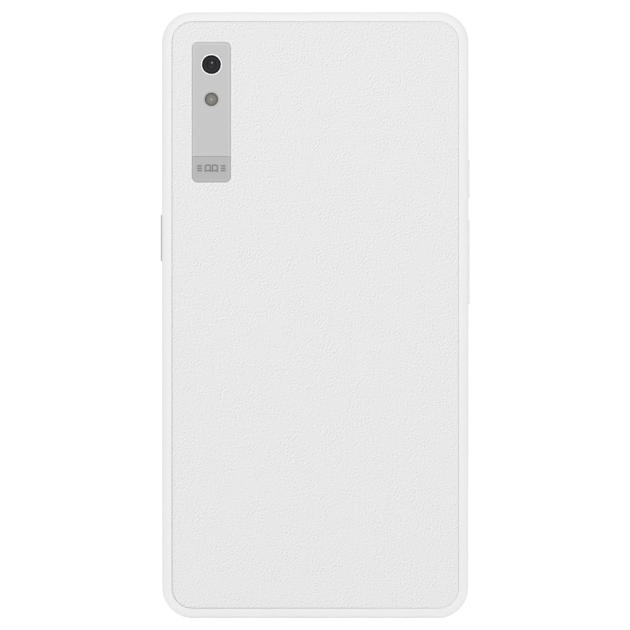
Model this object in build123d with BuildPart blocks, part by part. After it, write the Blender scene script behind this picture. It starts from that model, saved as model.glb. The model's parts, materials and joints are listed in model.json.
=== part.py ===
from build123d import *
import os

# Phone-format e-reader, standing upright. Millimetres.
# X runs across the width, Y through the thickness (screen at -Y, back at +Y) and Z up along the length.
# The origin is the middle of the bottom edge.

# Driving dimensions of the body
LENGTH = 159.0
WIDTH = 80.4
THICKNESS = 8.0
CORNER = 8.0
REAR_ROUND = 2.2
SCREEN_ROUND = 1.0
RIM = 2.7
WALL = 1.8
LENS_LIP = 1.2
DISPLAY_LIP = 2.6
PANEL_SHELF = 4.3
GAP = 0.15
FINE_GAP = 0.08
SLIP = 0.02

# Depths, as Y values from the back of the body to its screen
REAR = THICKNESS / 2
SCREEN = -THICKNESS / 2
PLATE_FACE = REAR + 0.1
PANEL_FACE = REAR - 0.15
PANEL_UNDERSIDE = 3.2
PLATE_UNDERSIDE = 3.1
SHELF_FACE = 3.05
COVER_FACE = 2.95
COVER_UNDERSIDE = 2.25
SHELF_UNDERSIDE = 2.2
BOARD_FACE = -0.45
BOARD_UNDERSIDE = -1.15
CHASSIS_FACE = -1.65
CHASSIS_UNDERSIDE = -2.05
BACKPLANE_FACE = -2.1
FILM_FACE = -2.5
GUIDE_FACE = -2.8
TOUCH_FACE = -3.2
BORDER_FACE = -3.4
LENS_FACE = -3.45

# Display
ACTIVE_WIDTH = 69.8
ACTIVE_LENGTH = 139.5
ACTIVE_MID = 81.25
STACK_WIDTH = 74.6
STACK_BOTTOM = 4.2
STACK_TOP = 153.4
STACK_CORNER = 3.0
GUIDE_BOTTOM = 5.8
LED_COUNT = 10
LED_PITCH = 7.0

# Camera strip on the back
STRIP_X = 27.22
STRIP_WIDTH = 10.2
STRIP_TOP = 151.03
STRIP_BOTTOM = 114.25
STRIP_CORNER = 1.5
PLATE_SEAM = 121.1
SEAM_GAP = 0.06
SEAM_CHAMFER = 0.08
BEVEL_WIDTH = 0.55
BEVEL_DEPTH = 0.2
CAMERA_X = 27.2
CAMERA_Z = 145.1
FLASH_Z = 136.0
RING_RADIUS = 2.86
RING_BORE = 2.48
WINDOW_RADIUS = 2.12
BARREL_RADIUS = 1.95
CAMERA_SIDE = 8.4
FLASH_RADIUS = 1.74
PIPE_RADIUS = 1.3

# Keys on the long sides
KEY_WIDTH = 2.2
KEY_CLEARANCE = 0.12
KEY_FLANGE = 0.5
KEY_ROUND = 0.2
NUB_RADIUS = 0.6
NUB_TIP = WIDTH / 2 - WALL - 0.95
DOME_SEAT = WIDTH / 2 - WALL - 1.3
DOME_HEIGHT = 0.33
DOME_RADIUS = 1.25
FLEX = 0.12
POWER_FLEX_BOTTOM = 92.5
POWER_BRACKET_TOP = 107.0
SIDE_FLEX_BOTTOM = 82.0
SIDE_BRACKET_TOP = 120.5
POWER_Z = 99.72
POWER_LENGTH = 12.22
POWER_PROUD = 0.35
FUNCTION_Z = 115.32
FUNCTION_LENGTH = 10.05
FUNCTION_PROUD = 0.5
VOLUME_Z = 93.4
VOLUME_LENGTH = 22.25
VOLUME_PROUD = 0.5
VOLUME_DOME_OFFSET = 7.5
PRESS_SLACK = 0.05
ROCK_SLACK = 0.35
FLANGE_MARGIN = 0.4

# Bottom edge
USB_WIDTH = 8.94
USB_HEIGHT = 3.16
USB_SHEET = 0.3
USB_DEPTH = 8.0
USB_RECESS = 0.3
SPEAKER_X = 18.0
SPEAKER_HOLES = 6
SPEAKER_PITCH = 2.2
SPEAKER_HOLE_RADIUS = 0.6
BOTTOM_MIC_X = -16.0
MIC_HOLE_RADIUS = 0.5

# Top edge
TRAY_X = -20.0
TRAY_Y = 0.27
DOOR_X = -18.8
DOOR_WIDTH = 16.4
DOOR_HEIGHT = 2.1
DOOR_INSET = 0.05
PINHOLE_X = -12.0
PINHOLE_RADIUS = 0.45
TRAY_WIDTH = 12.8
TRAY_THICKNESS = 1.1
TRAY_BOTTOM = 139.0
CARD_WIDTH = 11.1
CARD_LENGTH = 15.1
CARD_THICKNESS = 0.75
READER_BOTTOM = 137.6
READER_TOP = 155.3
LEVER_BOTTOM = 135.8
LEVER_ARM = 1.4
TOP_MIC_X = 16.0

# Boards, battery and fasteners
MAIN_BOARD_BOTTOM = 113.0
MAIN_BOARD_TOP = 153.5
BOARD_WIDTH = 70.8
SUB_BOARD_BOTTOM = 5.0
SUB_BOARD_TOP = 19.5
BATTERY_WIDTH = 64.0
BATTERY_BOTTOM = 22.5
BATTERY_TOP = 108.5
BATTERY_FACE = 1.95
BATTERY_UNDERSIDE = -1.55
COVER_WIDTH = 71.2
COVER_INSET = 4.6
UPPER_COVER_BOTTOM = 109.5
LOWER_COVER_TOP = 21.5
POST_RADIUS = 1.7
SCREW_RADIUS = 0.7
SCREW_HEAD_RADIUS = 1.25
SCREW_HEAD = 0.5
UPPER_SCREWS = [(-32.0, 150.5), (-9.5, 150.5), (20.0, 150.5), (32.5, 124.0), (-32.0, 116.5), (14.0, 116.5)]
LOWER_SCREWS = [(-31.5, 9.0), (-31.5, 17.5), (31.5, 9.0), (31.5, 17.5)]
BRACKET_FOOT_X = 35.0
POWER_TAIL_Z = 115.5
SIDE_KEY_TAIL_Z = 122.8
POWER_FEET = [POWER_Z]
SIDE_KEY_FEET = [VOLUME_Z, FUNCTION_Z - 7.5]
TAIL_X = 34.2
TAIL_BEND = 0.6
BRACKET_SHEET = 0.5
FOOT_SHEET = 0.4
FOOT_LENGTH = 4.4
FOOT_INNER = BRACKET_FOOT_X - 1.6

MID = LENGTH / 2
INNER_WALL = WIDTH / 2 - WALL


def level(depth):
    """Sketch plane parallel to the screen: sketch x is X and sketch y is Z. Extrusion runs to the screen."""
    return Plane.XZ.offset(-depth)


def flank(x):
    """Sketch plane parallel to the long sides: sketch x is Y and sketch y is Z. Extrusion runs to +X."""
    return Plane.YZ.offset(x)


def add_slab(x, z, width, height, rear, front, corner=0.0, mode=Mode.ADD):
    """Add a slab parallel to the screen, centred on x and z, from depth rear to depth front."""
    with BuildSketch(level(rear)) as outline:
        with Locations((x, z)):
            if corner:
                RectangleRounded(width, height, corner)
            else:
                Rectangle(width, height)
    extrude(outline.sketch, amount=rear - front, mode=mode)


def add_inset(inset, rear, front, mode=Mode.ADD):
    """Add a slab whose outline is the body's own outline moved in by inset."""
    add_slab(0, MID, WIDTH - 2 * inset, LENGTH - 2 * inset, rear, front, CORNER - inset, mode)


def add_disc(x, z, radius, rear, front, mode=Mode.ADD):
    """Add a disc parallel to the screen, centred on x and z, from depth rear to depth front."""
    with BuildSketch(level(rear)) as outline:
        with Locations((x, z)):
            Circle(radius)
    extrude(outline.sketch, amount=rear - front, mode=mode)


def add_beam(x, y, width, depth, bottom, top, mode=Mode.ADD):
    """Add an upright block centred on x and y, from height bottom to height top."""
    with BuildSketch(Plane.XY.offset(bottom)) as outline:
        with Locations((x, y)):
            Rectangle(width, depth)
    extrude(outline.sketch, amount=top - bottom, mode=mode)


def add_ribbon(plane, points, bend, width):
    """Add a flex circuit: a thin ribbon that follows points on plane, width wide across it."""
    with BuildSketch(plane) as outline:
        with BuildLine():
            FilletPolyline(*points, radius=bend)
        trace(line_width=FLEX)
    extrude(outline.sketch, amount=width / 2, both=True)


# ---------------------------------------------------------------- frame and chassis

INNER_STEPS = [
    (RIM - GAP / 2, REAR, SHELF_FACE),
    (PANEL_SHELF, SHELF_FACE, SHELF_UNDERSIDE),
    (WALL, SHELF_UNDERSIDE, CHASSIS_UNDERSIDE),
    (DISPLAY_LIP, CHASSIS_UNDERSIDE, LENS_FACE),
    (LENS_LIP, LENS_FACE, SCREEN),
]
KEY_SLOTS = [
    (1, POWER_Z, POWER_LENGTH),
    (-1, FUNCTION_Z, FUNCTION_LENGTH),
    (-1, VOLUME_Z, VOLUME_LENGTH),
]

# Perimeter frame with rounded long edges, stepped inside for the screen, the chassis and the back panel
with BuildPart() as side_frame:
    with BuildSketch(level(REAR)):
        with Locations((0, MID)):
            RectangleRounded(WIDTH, LENGTH, CORNER)
    extrude(amount=THICKNESS)
    fillet(side_frame.faces().sort_by(Axis.Y)[-1].outer_wire().edges(), REAR_ROUND)
    fillet(side_frame.faces().sort_by(Axis.Y)[0].outer_wire().edges(), SCREEN_ROUND)
    for inset, rear, front in INNER_STEPS:
        add_inset(inset, rear, front, Mode.SUBTRACT)
    chamfer(side_frame.faces().sort_by(Axis.Y)[-1].inner_wires()[0].edges(), GAP)
    for side, centre, length in KEY_SLOTS:
        with BuildSketch(flank(side * (INNER_WALL - WALL / 2))):
            with Locations((0, centre)):
                SlotOverall(length + 2 * KEY_CLEARANCE, KEY_WIDTH + 2 * KEY_CLEARANCE, rotation=90)
        extrude(amount=side * 2 * WALL, mode=Mode.SUBTRACT)
    with BuildSketch(Plane.XY.offset(-WALL / 2)):
        SlotOverall(USB_WIDTH + 2 * FINE_GAP, USB_HEIGHT + 2 * FINE_GAP)
        with Locations((SPEAKER_X, 0)):
            with GridLocations(SPEAKER_PITCH, 0, SPEAKER_HOLES, 1):
                Circle(SPEAKER_HOLE_RADIUS)
        with Locations((BOTTOM_MIC_X, 0)):
            Circle(MIC_HOLE_RADIUS)
    extrude(amount=2 * WALL, mode=Mode.SUBTRACT)
    with BuildSketch(Plane.XY.offset(LENGTH - 1.5 * WALL)):
        with Locations((DOOR_X, TRAY_Y)):
            SlotOverall(DOOR_WIDTH + 2 * KEY_CLEARANCE, DOOR_HEIGHT + 2 * KEY_CLEARANCE)
        with Locations((TOP_MIC_X, TRAY_Y)):
            Circle(MIC_HOLE_RADIUS)
    extrude(amount=2 * WALL, mode=Mode.SUBTRACT)

FLEX_SLOT_X = 2.0
FLEX_SLOT_Z = 154.6
FLEX_SLOT_WIDTH = 20.0
FLEX_SLOT_HEIGHT = 1.0
TAP_RADIUS = SCREW_RADIUS - 0.1
BRACKET_TAP_RADIUS = SCREW_RADIUS - 0.2

# Metal chassis plate moulded into the frame, with a threaded standoff under every cover screw
with BuildPart() as mid_plate:
    add_inset(WALL + PRESS_SLACK, CHASSIS_FACE, CHASSIS_UNDERSIDE)
    for x, z in UPPER_SCREWS + LOWER_SCREWS:
        add_disc(x, z, POST_RADIUS, BOARD_UNDERSIDE, CHASSIS_FACE)
        add_disc(x, z, TAP_RADIUS, BOARD_UNDERSIDE, CHASSIS_UNDERSIDE, Mode.SUBTRACT)
    for side, feet in ((1, POWER_FEET), (-1, SIDE_KEY_FEET)):
        for z in feet:
            foot_x = side * BRACKET_FOOT_X
            add_disc(foot_x, z, BRACKET_TAP_RADIUS, CHASSIS_FACE, CHASSIS_UNDERSIDE, Mode.SUBTRACT)
    add_slab(
        FLEX_SLOT_X,
        FLEX_SLOT_Z,
        FLEX_SLOT_WIDTH,
        FLEX_SLOT_HEIGHT,
        CHASSIS_FACE,
        CHASSIS_UNDERSIDE,
        mode=Mode.SUBTRACT,
    )

# ---------------------------------------------------------------- screen stack

STACK_MID = (STACK_BOTTOM + STACK_TOP) / 2
STACK_LENGTH = STACK_TOP - STACK_BOTTOM
LIGHT_SENSOR_X = 18.0
LIGHT_SENSOR_Z = 155.0
LIGHT_SENSOR_WIDTH = 2.4
LIGHT_SENSOR_LENGTH = 1.6
LIGHT_SENSOR_HOLE = 0.6
BORDER_CORNER = 0.5

# Cover lens, flush with the frame's screen edge
with BuildPart() as cover_lens:
    add_inset(LENS_LIP + FINE_GAP, LENS_FACE, SCREEN)
    chamfer(cover_lens.faces().sort_by(Axis.Y)[0].edges(), FINE_GAP)

# Printed border film behind the lens, open over the active area and the light sensor
with BuildPart() as bezel_film:
    add_inset(DISPLAY_LIP + FINE_GAP, BORDER_FACE, LENS_FACE)
    add_slab(0, ACTIVE_MID, ACTIVE_WIDTH, ACTIVE_LENGTH, BORDER_FACE, LENS_FACE, BORDER_CORNER, Mode.SUBTRACT)
    add_disc(LIGHT_SENSOR_X, LIGHT_SENSOR_Z, LIGHT_SENSOR_HOLE, BORDER_FACE, LENS_FACE, Mode.SUBTRACT)

with BuildPart() as touch_layer:
    add_slab(0, STACK_MID, STACK_WIDTH, STACK_LENGTH, TOUCH_FACE, BORDER_FACE, STACK_CORNER)

with BuildPart() as light_guide:
    guide_mid = (GUIDE_BOTTOM + STACK_TOP) / 2
    add_slab(0, guide_mid, STACK_WIDTH, STACK_TOP - GUIDE_BOTTOM, GUIDE_FACE, TOUCH_FACE, STACK_CORNER)

LED_Z = GUIDE_BOTTOM - 0.65
LED_WIDTH = 2.6
LED_HEIGHT = 1.0
LED_STRIP_WIDTH = 68.0
LED_STRIP_HEIGHT = 1.3
LED_STRIP = 0.1

# Front light: a row of side-firing LEDs along the guide's bottom edge, on their own strip
with BuildPart() as frontlight_leds:
    with BuildSketch(level(GUIDE_FACE)):
        with Locations((0, LED_Z)):
            with GridLocations(LED_PITCH, 0, LED_COUNT, 1):
                Rectangle(LED_WIDTH, LED_HEIGHT)
    extrude(amount=GUIDE_FACE - TOUCH_FACE)

with BuildPart() as frontlight_strip:
    add_slab(0, LED_Z, LED_STRIP_WIDTH, LED_STRIP_HEIGHT, GUIDE_FACE + LED_STRIP, GUIDE_FACE)

FILM_MARGIN = 1.3
FILM_WIDTH = ACTIVE_WIDTH + 2 * FILM_MARGIN
FILM_LENGTH = ACTIVE_LENGTH + 2 * FILM_MARGIN
FILM_CORNER = 0.4

with BuildPart() as epaper_film:
    add_slab(0, ACTIVE_MID, FILM_WIDTH, FILM_LENGTH, FILM_FACE, GUIDE_FACE, FILM_CORNER)

with BuildPart() as epaper_backplane:
    add_slab(0, STACK_MID, STACK_WIDTH, STACK_LENGTH, BACKPLANE_FACE, FILM_FACE, STACK_CORNER)

DISPLAY_FLEX_Y = 0.2
DISPLAY_FLEX_END = 148.5
DISPLAY_FLEX_WIDTH = 18.0
DISPLAY_FLEX_BEND = 0.4

# Display flex: out of the backplane's top edge, through the chassis slot and down onto the main board
with BuildPart() as display_flex:
    flex_start = (BACKPLANE_FACE + FILM_FACE) / 2
    add_ribbon(
        Plane.YZ.offset(FLEX_SLOT_X),
        [
            (flex_start, STACK_TOP),
            (flex_start, FLEX_SLOT_Z),
            (DISPLAY_FLEX_Y, FLEX_SLOT_Z),
            (DISPLAY_FLEX_Y, DISPLAY_FLEX_END),
        ],
        DISPLAY_FLEX_BEND,
        DISPLAY_FLEX_WIDTH,
    )

with BuildPart() as light_sensor:
    add_slab(
        LIGHT_SENSOR_X,
        LIGHT_SENSOR_Z,
        LIGHT_SENSOR_WIDTH,
        LIGHT_SENSOR_LENGTH,
        CHASSIS_UNDERSIDE,
        BORDER_FACE + SLIP,
    )

# ---------------------------------------------------------------- back panel and camera strip

STRIP_MID = (STRIP_TOP + STRIP_BOTTOM) / 2
STRIP_LENGTH = STRIP_TOP - STRIP_BOTTOM
ADHESIVE_OUTER = RIM + 0.3
ADHESIVE_INNER = PANEL_SHELF + 0.1
PAD_MARGIN = 0.2
RING_PAD_CLEARANCE = 0.3

# Thin back panel set inside the rim, open around the camera strip
with BuildPart() as back_panel:
    add_inset(RIM + GAP / 2, PANEL_FACE, PANEL_UNDERSIDE)
    fillet(back_panel.faces().sort_by(Axis.Y)[-1].edges(), GAP)
    add_slab(
        STRIP_X,
        STRIP_MID,
        STRIP_WIDTH + 2 * FINE_GAP,
        STRIP_LENGTH + 2 * FINE_GAP,
        PANEL_FACE,
        PANEL_UNDERSIDE,
        STRIP_CORNER + FINE_GAP,
        Mode.SUBTRACT,
    )

# Adhesives: a perimeter ring under the back panel and a pad under the camera strip
with BuildPart() as back_adhesive:
    add_inset(ADHESIVE_OUTER, PANEL_UNDERSIDE, SHELF_FACE)
    add_inset(ADHESIVE_INNER, PANEL_UNDERSIDE, SHELF_FACE, Mode.SUBTRACT)
    add_slab(
        STRIP_X,
        STRIP_MID,
        STRIP_WIDTH - 2 * PAD_MARGIN,
        STRIP_LENGTH - 2 * PAD_MARGIN,
        PLATE_UNDERSIDE,
        COVER_FACE,
        STRIP_CORNER - PAD_MARGIN,
    )
    add_disc(CAMERA_X, CAMERA_Z, RING_RADIUS + RING_PAD_CLEARANCE, PANEL_UNDERSIDE, COVER_FACE, Mode.SUBTRACT)
    add_disc(CAMERA_X, FLASH_Z, FLASH_RADIUS + PAD_MARGIN, PANEL_UNDERSIDE, COVER_FACE, Mode.SUBTRACT)

# The whole camera strip with a wide shallow bevel round its face, before it is parted at the seam
with BuildPart() as strip:
    shoulder = PLATE_FACE - BEVEL_DEPTH
    add_slab(STRIP_X, STRIP_MID, STRIP_WIDTH, STRIP_LENGTH, shoulder, PLATE_UNDERSIDE, STRIP_CORNER)
    with BuildSketch(level(shoulder)):
        with Locations((STRIP_X, STRIP_MID)):
            RectangleRounded(STRIP_WIDTH, STRIP_LENGTH, STRIP_CORNER)
    with BuildSketch(level(PLATE_FACE)):
        with Locations((STRIP_X, STRIP_MID)):
            inset = 2 * BEVEL_WIDTH
            RectangleRounded(STRIP_WIDTH - inset, STRIP_LENGTH - inset, STRIP_CORNER - BEVEL_WIDTH)
    loft(ruled=True)

with BuildPart() as camera_plate:
    add(strip.part)
    split(bisect_by=Plane.XY.offset(PLATE_SEAM + SEAM_GAP / 2), keep=Keep.TOP)
    seam_edges = camera_plate.faces().sort_by(Axis.Z)[0].edges()
    chamfer(seam_edges.sort_by(Axis.Y)[-1], SEAM_CHAMFER)
    add_disc(CAMERA_X, CAMERA_Z, RING_RADIUS + SLIP, PLATE_FACE, COVER_FACE, Mode.SUBTRACT)
    add_disc(CAMERA_X, FLASH_Z, FLASH_RADIUS, PLATE_FACE, COVER_FACE, Mode.SUBTRACT)

with BuildPart() as badge_plate:
    add(strip.part)
    split(bisect_by=Plane.XY.offset(PLATE_SEAM - SEAM_GAP / 2), keep=Keep.BOTTOM)

RING_FACE = PLATE_FACE + 0.05
RING_CHAMFER = 0.1
WINDOW_FACE = RING_FACE - 0.1
WINDOW_GLASS = 0.4
WINDOW_CHAMFER = 0.04
WINDOW_SEAT = WINDOW_FACE - WINDOW_GLASS
COLLAR_FACE = WINDOW_FACE - 0.05
COLLAR_SEAT = 3.5
BARREL_CLEARANCE = 0.1

# Metal ring round the camera, stepped inside for the barrel's collar
with BuildPart() as camera_ring:
    add_disc(CAMERA_X, CAMERA_Z, RING_RADIUS, RING_FACE, PLATE_UNDERSIDE)
    add_disc(CAMERA_X, CAMERA_Z, RING_BORE, RING_FACE, COLLAR_SEAT, Mode.SUBTRACT)
    add_disc(CAMERA_X, CAMERA_Z, BARREL_RADIUS + BARREL_CLEARANCE, COLLAR_SEAT, COVER_FACE, Mode.SUBTRACT)
    chamfer(camera_ring.faces().sort_by(Axis.Y)[-1].edges(), RING_CHAMFER)

with BuildPart() as camera_window:
    add_disc(CAMERA_X, CAMERA_Z, WINDOW_RADIUS, WINDOW_FACE, WINDOW_SEAT)
    chamfer(camera_window.faces().sort_by(Axis.Y)[-1].edges(), WINDOW_CHAMFER)

BARREL_FOOT = 0.85
APERTURE_RADIUS = 1.35
HOOD = 0.35
BODY_FACE = 2.15

CAMERA_SECTION = Plane(origin=(CAMERA_X, 0, CAMERA_Z))
CAMERA_AXIS = Axis((CAMERA_X, 0, CAMERA_Z), (0, 1, 0))

# Lens barrel: a collar that holds the window, over a conical hood in front of the glass elements
with BuildPart() as camera_barrel:
    with BuildSketch(CAMERA_SECTION):
        with BuildLine():
            Polyline(
                (APERTURE_RADIUS, BARREL_FOOT),
                (BARREL_RADIUS, BARREL_FOOT),
                (BARREL_RADIUS, COLLAR_SEAT),
                (RING_BORE - SLIP, COLLAR_SEAT),
                (RING_BORE - SLIP, COLLAR_FACE),
                (WINDOW_RADIUS + SLIP, COLLAR_FACE),
                (WINDOW_RADIUS + SLIP, WINDOW_SEAT),
                (APERTURE_RADIUS + HOOD, WINDOW_SEAT),
                (APERTURE_RADIUS, WINDOW_SEAT - HOOD),
                close=True,
            )
        make_face()
    revolve(axis=CAMERA_AXIS)

LENS_RADIUS = APERTURE_RADIUS - 0.05
LENS_SPHERE = 2.4
LENS_EDGE = 0.3
LENS_SEATS = (2.4, 1.3)
LENS_DOME = LENS_SPHERE - (LENS_SPHERE**2 - LENS_RADIUS**2) ** 0.5

# Two glass elements, each domed towards the back
with BuildPart() as camera_lenses:
    for seat in LENS_SEATS:
        with BuildSketch(CAMERA_SECTION):
            with BuildLine():
                crown = (0, seat + LENS_DOME)
                Polyline(crown, (0, seat - LENS_EDGE), (LENS_RADIUS, seat - LENS_EDGE), (LENS_RADIUS, seat))
                RadiusArc((LENS_RADIUS, seat), crown, -LENS_SPHERE)
            make_face()
        revolve(axis=CAMERA_AXIS)

BODY_BACK = BOARD_UNDERSIDE - 0.1
BODY_CORNER = 0.5
SOCKET_SLIP = 0.05
SENSOR_PLANE = 0.0

# Camera body: sensor housing with the socket that the barrel screws into
with BuildPart() as camera_body:
    add_slab(CAMERA_X, CAMERA_Z, CAMERA_SIDE, CAMERA_SIDE, BODY_FACE, BODY_BACK, BODY_CORNER)
    add_disc(CAMERA_X, CAMERA_Z, BARREL_RADIUS + SOCKET_SLIP, BODY_FACE, BARREL_FOOT, Mode.SUBTRACT)
    add_disc(CAMERA_X, CAMERA_Z, APERTURE_RADIUS, BARREL_FOOT, SENSOR_PLANE, Mode.SUBTRACT)

CAMERA_FLEX_X = 24.0
CAMERA_FLEX_BOTTOM = 127.4
CAMERA_FLEX_TOP = CAMERA_Z - CAMERA_SIDE / 2
TAIL_WIDTH = 2.8
CONNECTOR_TOP = 0.14

with BuildPart() as camera_flex:
    add_slab(
        CAMERA_FLEX_X,
        (CAMERA_FLEX_BOTTOM + CAMERA_FLEX_TOP) / 2,
        TAIL_WIDTH,
        CAMERA_FLEX_TOP - CAMERA_FLEX_BOTTOM,
        CONNECTOR_TOP + FLEX,
        CONNECTOR_TOP,
    )

FLASH_FACE = PLATE_FACE - 0.3
FLASH_FLANGE = PANEL_UNDERSIDE - 0.05
PIPE_END = 0.6
FLASH_LED_SIDE = 2.6
FLASH_LED_HEIGHT = 0.8

# Flash window: stepped disc with a light pipe down to the LED
with BuildPart() as flash_window:
    add_disc(CAMERA_X, FLASH_Z, FLASH_RADIUS - 2 * SLIP, FLASH_FACE, FLASH_FLANGE)
    add_disc(CAMERA_X, FLASH_Z, PIPE_RADIUS, FLASH_FLANGE, PIPE_END)

with BuildPart() as flash_led:
    add_slab(CAMERA_X, FLASH_Z, FLASH_LED_SIDE, FLASH_LED_SIDE, BOARD_FACE + FLASH_LED_HEIGHT, BOARD_FACE)

# ---------------------------------------------------------------- keys


def side_key(side, centre, length, proud, slack, nub_offsets):
    """A side key: a cap through the wall, a wider flange behind it and a nub over each snap dome."""
    flange_face = INNER_WALL - slack
    flange_back = flange_face - KEY_FLANGE
    outer_face = WIDTH / 2 + proud
    with BuildPart() as key:
        with BuildSketch(flank(side * flange_back)):
            with Locations((0, centre)):
                RectangleRounded(KEY_WIDTH + 2 * FLANGE_MARGIN, length + 1.0, FLANGE_MARGIN)
        extrude(amount=side * KEY_FLANGE)
        with BuildSketch(flank(side * flange_face)):
            with Locations((0, centre)):
                SlotOverall(length, KEY_WIDTH, rotation=90)
        extrude(amount=side * (outer_face - flange_face))
        fillet(key.faces().filter_by(Axis.X).sort_by(Axis.X)[-1 if side > 0 else 0].edges(), KEY_ROUND)
        with BuildSketch(flank(side * flange_back)):
            with Locations([(0, centre + offset) for offset in nub_offsets]):
                Circle(NUB_RADIUS)
        extrude(amount=side * (NUB_TIP - flange_back))
    return key


def snap_domes(side, heights):
    """Spherical snap domes on their flex, with the crown towards the key."""
    sphere = (DOME_RADIUS**2 + DOME_HEIGHT**2) / (2 * DOME_HEIGHT)
    crown = DOME_SEAT + DOME_HEIGHT
    with BuildPart() as domes:
        with Locations([(side * (crown - sphere), 0, z) for z in heights]):
            Sphere(sphere, rotation=(0, 0, 90))
        split(bisect_by=flank(side * DOME_SEAT), keep=Keep.TOP if side > 0 else Keep.BOTTOM)
    return domes


def key_flex(side, bottom, top):
    """Flex circuit under a row of domes, ending in a tail that turns in to the main board."""
    middle = side * (DOME_SEAT - FLEX / 2)
    tail = side * TAIL_X
    with BuildPart() as flex:
        add_ribbon(Plane.XZ, [(middle, bottom), (middle, top), (tail, top)], TAIL_BEND, TAIL_WIDTH)
    return flex


def key_bracket(side, bottom, top, feet):
    """Metal bracket that backs the flex, with feet screwed to the chassis plate."""
    outer = DOME_SEAT - FLEX
    with BuildPart() as bracket:
        add_beam(side * (outer - BRACKET_SHEET / 2), 0, BRACKET_SHEET, -2 * CHASSIS_FACE, bottom, top)
        for z in feet:
            middle = side * (FOOT_INNER + outer) / 2
            foot_face = CHASSIS_FACE + FOOT_SHEET
            add_slab(middle, z, outer - FOOT_INNER, FOOT_LENGTH, foot_face, CHASSIS_FACE)
            add_disc(side * BRACKET_FOOT_X, z, SCREW_RADIUS, foot_face, CHASSIS_FACE, Mode.SUBTRACT)
    return bracket


power_button = side_key(1, POWER_Z, POWER_LENGTH, POWER_PROUD, PRESS_SLACK, [0])
function_button = side_key(-1, FUNCTION_Z, FUNCTION_LENGTH, FUNCTION_PROUD, PRESS_SLACK, [0])
volume_key = side_key(
    -1, VOLUME_Z, VOLUME_LENGTH, VOLUME_PROUD, ROCK_SLACK, [-VOLUME_DOME_OFFSET, VOLUME_DOME_OFFSET]
)

POCKET_SLIP = 0.03
SENSOR_LENGTH = POWER_LENGTH - 1.2
SENSOR_WIDTH = KEY_WIDTH - 0.9
SENSOR_DEPTH = 0.3
SENSOR_FACE = WIDTH / 2 + POWER_PROUD - 0.04

# Pocket in the power button for the fingerprint sensor, and the sensor itself
with BuildPart() as power_button_pocketed:
    add(power_button.part)
    with BuildSketch(flank(SENSOR_FACE - SENSOR_DEPTH)):
        with Locations((0, POWER_Z)):
            SlotOverall(SENSOR_LENGTH + 2 * POCKET_SLIP, SENSOR_WIDTH + 2 * POCKET_SLIP, rotation=90)
    extrude(amount=2 * SENSOR_DEPTH, mode=Mode.SUBTRACT)

with BuildPart() as fingerprint_sensor:
    with BuildSketch(flank(SENSOR_FACE - SENSOR_DEPTH)):
        with Locations((0, POWER_Z)):
            SlotOverall(SENSOR_LENGTH, SENSOR_WIDTH, rotation=90)
    extrude(amount=SENSOR_DEPTH)

power_dome = snap_domes(1, [POWER_Z])
function_dome = snap_domes(-1, [FUNCTION_Z])
volume_domes = snap_domes(-1, [VOLUME_Z - VOLUME_DOME_OFFSET, VOLUME_Z + VOLUME_DOME_OFFSET])
power_flex = key_flex(1, POWER_FLEX_BOTTOM, POWER_TAIL_Z)
side_key_flex = key_flex(-1, SIDE_FLEX_BOTTOM, SIDE_KEY_TAIL_Z)
power_bracket = key_bracket(1, POWER_FLEX_BOTTOM, POWER_BRACKET_TOP, POWER_FEET)
side_key_bracket = key_bracket(-1, SIDE_FLEX_BOTTOM, SIDE_BRACKET_TOP, SIDE_KEY_FEET)


CROSS = 1.3
CROSS_SLOT = 0.3
BRACKET_SCREW_HEAD = 1.0
BRACKET_SCREW_TIP = -2.0


def add_screw(x, z, seat, head, head_radius, shank_radius, tip):
    """Add a pan-head screw with a cross recess, its head on depth seat."""
    face = seat + head
    add_disc(x, z, head_radius, face, seat)
    add_disc(x, z, shank_radius, seat, tip)
    for width, height in ((CROSS, CROSS_SLOT), (CROSS_SLOT, CROSS)):
        add_slab(x, z, width, height, face, face - head / 2, mode=Mode.SUBTRACT)


with BuildPart() as bracket_screws:
    for side, feet in ((1, POWER_FEET), (-1, SIDE_KEY_FEET)):
        for z in feet:
            add_screw(
                side * BRACKET_FOOT_X,
                z,
                CHASSIS_FACE + FOOT_SHEET,
                FOOT_SHEET,
                BRACKET_SCREW_HEAD,
                BRACKET_TAP_RADIUS,
                BRACKET_SCREW_TIP,
            )

# ---------------------------------------------------------------- main board

MAIN_BOARD_MID = (MAIN_BOARD_BOTTOM + MAIN_BOARD_TOP) / 2
CAMERA_CLEARANCE = 0.4
BOARD_CORNER = 2.0
SCREW_CLEARANCE = 0.2
TAIL_NOTCH = (2.6, 3.6)

with BuildPart() as main_board:
    add_slab(
        0,
        MAIN_BOARD_MID,
        BOARD_WIDTH,
        MAIN_BOARD_TOP - MAIN_BOARD_BOTTOM,
        BOARD_FACE,
        BOARD_UNDERSIDE,
        BOARD_CORNER,
    )
    cutout = CAMERA_SIDE + 2 * CAMERA_CLEARANCE
    add_slab(CAMERA_X, CAMERA_Z, cutout, cutout, BOARD_FACE, BOARD_UNDERSIDE, BODY_CORNER, Mode.SUBTRACT)
    for x, z in UPPER_SCREWS:
        add_disc(x, z, SCREW_RADIUS + SCREW_CLEARANCE, BOARD_FACE, BOARD_UNDERSIDE, Mode.SUBTRACT)
    for side, z in ((1, POWER_TAIL_Z), (-1, SIDE_KEY_TAIL_Z)):
        add_slab(side * BOARD_WIDTH / 2, z, *TAIL_NOTCH, BOARD_FACE, BOARD_UNDERSIDE, mode=Mode.SUBTRACT)

PROCESSOR_X = -1.0
PROCESSOR_Z = 137.5
PROCESSOR_SIDE = 14.0
PROCESSOR_HEIGHT = 1.1
PROCESSOR_CORNER = 0.4

with BuildPart() as processor:
    processor_face = BOARD_FACE + PROCESSOR_HEIGHT
    side = PROCESSOR_SIDE
    add_slab(PROCESSOR_X, PROCESSOR_Z, side, side, processor_face, BOARD_FACE, PROCESSOR_CORNER)

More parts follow.
